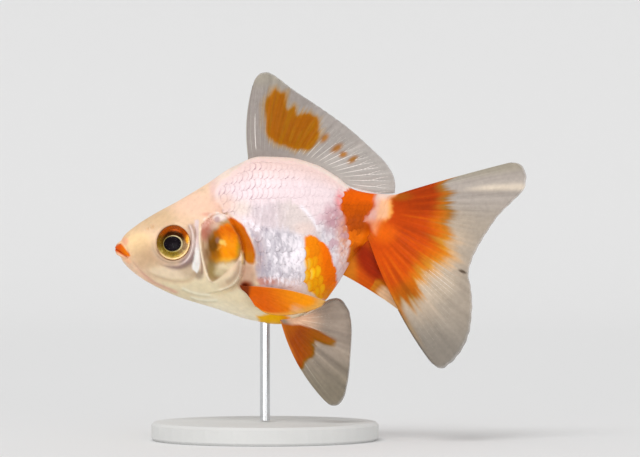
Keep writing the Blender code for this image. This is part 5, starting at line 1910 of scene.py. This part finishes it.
def make_rays(fin, material):
    """The branching rays of a fin, as jointed tubes."""
    verts, faces, colours, opaque = [], [], [], []
    ends = np.array(((0, 1, 2, 3), (0, 3, 4, 5)))
    offset = 0
    for plan in ray_plan(fin):
        tube, colour, cover = ray_tube(fin, *plan)
        steps = len(tube)
        quads, _ = grid_faces(steps, RAY_SIDES, closed=True)
        quads = np.concatenate((quads, ends[:, ::-1], ends + (steps - 1) * RAY_SIDES))
        faces.append(quads + offset)
        verts.append(tube.reshape(-1, 3))
        offset += steps * RAY_SIDES
        colours.append(np.repeat(colour, RAY_SIDES, axis=0))
        opaque.append(np.repeat(cover, RAY_SIDES))
    verts, faces = np.concatenate(verts), np.concatenate(faces)
    values = {"colour": np.concatenate(colours), "solid": np.concatenate(opaque)}
    new_piece(f"{fin.name}_rays", verts, faces, material, (), None, values)


def make_fins():
    web = web_material()
    rays = ray_material()
    fins = [dorsal_fin()]
    for word, side in SIDES:
        fins += [f(word, side) for f in (tail_fin, anal_fin, pelvic_fin, pectoral_fin)]
    for fin in fins:
        make_web(fin, web)
        make_rays(fin, rays)


# ------------------------------------------------------------------------- stand
def finish_stand():
    """The stand's solids keep their shape and get their finish."""
    for name, material in (("stand_rod", steel_material()), ("stand_base", paint_material())):
        node = frame["nodes"][name]
        for slot in node.material_slots:
            slot.material = material


# ------------------------------------------------------------------------- stage
STAGE_COLOUR = rgb(234, 234, 234)
LENS_MM = 200.0
SENSOR_MM = 36.0
VIEW_WIDTH = 140.8 * MM  # what the camera sees across at the fish
VIEW_CENTRE = (0.0, 0.0, 46.5 * MM)
WORLD_LIGHT = 0.63
KEY_FROM = (-0.30, -0.55, 1.0)
KEY_STRENGTH, KEY_ANGLE = 0.90, 30
PANEL_SIZE, PANEL_POWER = 0.2, 0.62
PANELS = (("fill_left", (-0.30, -0.62, 0.10)), ("fill_right", (0.34, -0.62, 0.10)))
FLOOR_NEAR, FLOOR_FAR, WALL_BEND = -1.6, 0.9, 0.5
STAGE_WIDTH, WALL_HEIGHT = 6.0, 2.5
BEND_STEPS = 24


def make_stage():
    """A floor that curves up into a wall behind the fish."""
    outline = [(FLOOR_NEAR, 0.0)]
    for k in range(BEND_STEPS + 1):
        turn = math.pi / 2 * k / BEND_STEPS
        outline.append((FLOOR_FAR + WALL_BEND * math.sin(turn), WALL_BEND - WALL_BEND * math.cos(turn)))
    outline.append((FLOOR_FAR + WALL_BEND, WALL_HEIGHT))
    xs = np.linspace(-STAGE_WIDTH / 2, STAGE_WIDTH / 2, 3)
    verts = [(x, y, z) for y, z in outline for x in xs]
    faces, _ = grid_faces(len(outline), 3)
    mesh = bpy.data.meshes.new("stage")
    mesh.from_pydata(verts, [], faces.tolist())
    mesh.shade_smooth()
    mesh.materials.append(stage_material())
    stage = bpy.data.objects.new("stage", mesh)
    bpy.context.scene.collection.objects.link(stage)


def make_lights():
    """Even white light from all round, a broad soft sun above, and two panels in front."""
    world_light = bpy.data.worlds.new("studio")
    world_light.use_nodes = True
    background = world_light.node_tree.nodes["Background"]
    background.inputs["Color"].default_value = (1.0, 1.0, 1.0, 1.0)
    background.inputs["Strength"].default_value = WORLD_LIGHT
    bpy.context.scene.world = world_light
    add_sun("key", KEY_FROM, KEY_STRENGTH, KEY_ANGLE)
    for name, place in PANELS:
        add_panel(name, place, PANEL_SIZE, PANEL_POWER)


def add_lamp(name, light, place, towards):
    """Puts a light at a place. Its light comes from the direction towards."""
    lamp = bpy.data.objects.new(name, light)
    bpy.context.scene.collection.objects.link(lamp)
    lamp.location = place
    lamp.rotation_euler = Vector(towards).to_track_quat("Z", "Y").to_euler()


def add_sun(name, towards, strength, angle):
    light = bpy.data.lights.new(name, "SUN")
    light.energy = strength
    light.angle = math.radians(angle)
    add_lamp(name, light, towards, towards)


def add_panel(name, place, size, power):
    """A square soft light that faces the middle of the fish."""
    light = bpy.data.lights.new(name, "AREA")
    light.energy = power
    light.size = size
    add_lamp(name, light, place, Vector(place) - Vector(VIEW_CENTRE))


def make_camera():
    """A long lens square to the fish's left side."""
    camera = bpy.data.cameras.new("camera")
    camera.lens = LENS_MM
    camera.sensor_width = SENSOR_MM
    camera.clip_start = 0.01
    holder = bpy.data.objects.new("camera", camera)
    bpy.context.scene.collection.objects.link(holder)
    distance = VIEW_WIDTH * LENS_MM / SENSOR_MM
    holder.location = (VIEW_CENTRE[0], -distance, VIEW_CENTRE[2])
    holder.rotation_euler = (math.pi / 2, 0.0, 0.0)
    bpy.context.scene.camera = holder


def main():
    """Builds the camera, the fish's looks, the stand's finish, the stage and the lights."""
    bpy.context.scene.view_settings.view_transform = "Standard"
    make_camera()
    make_skin(skin_material())
    make_scales(scale_material())
    make_eyes(eye_material(), cornea_material())
    make_fins()
    finish_stand()
    make_stage()
    make_lights()


main()
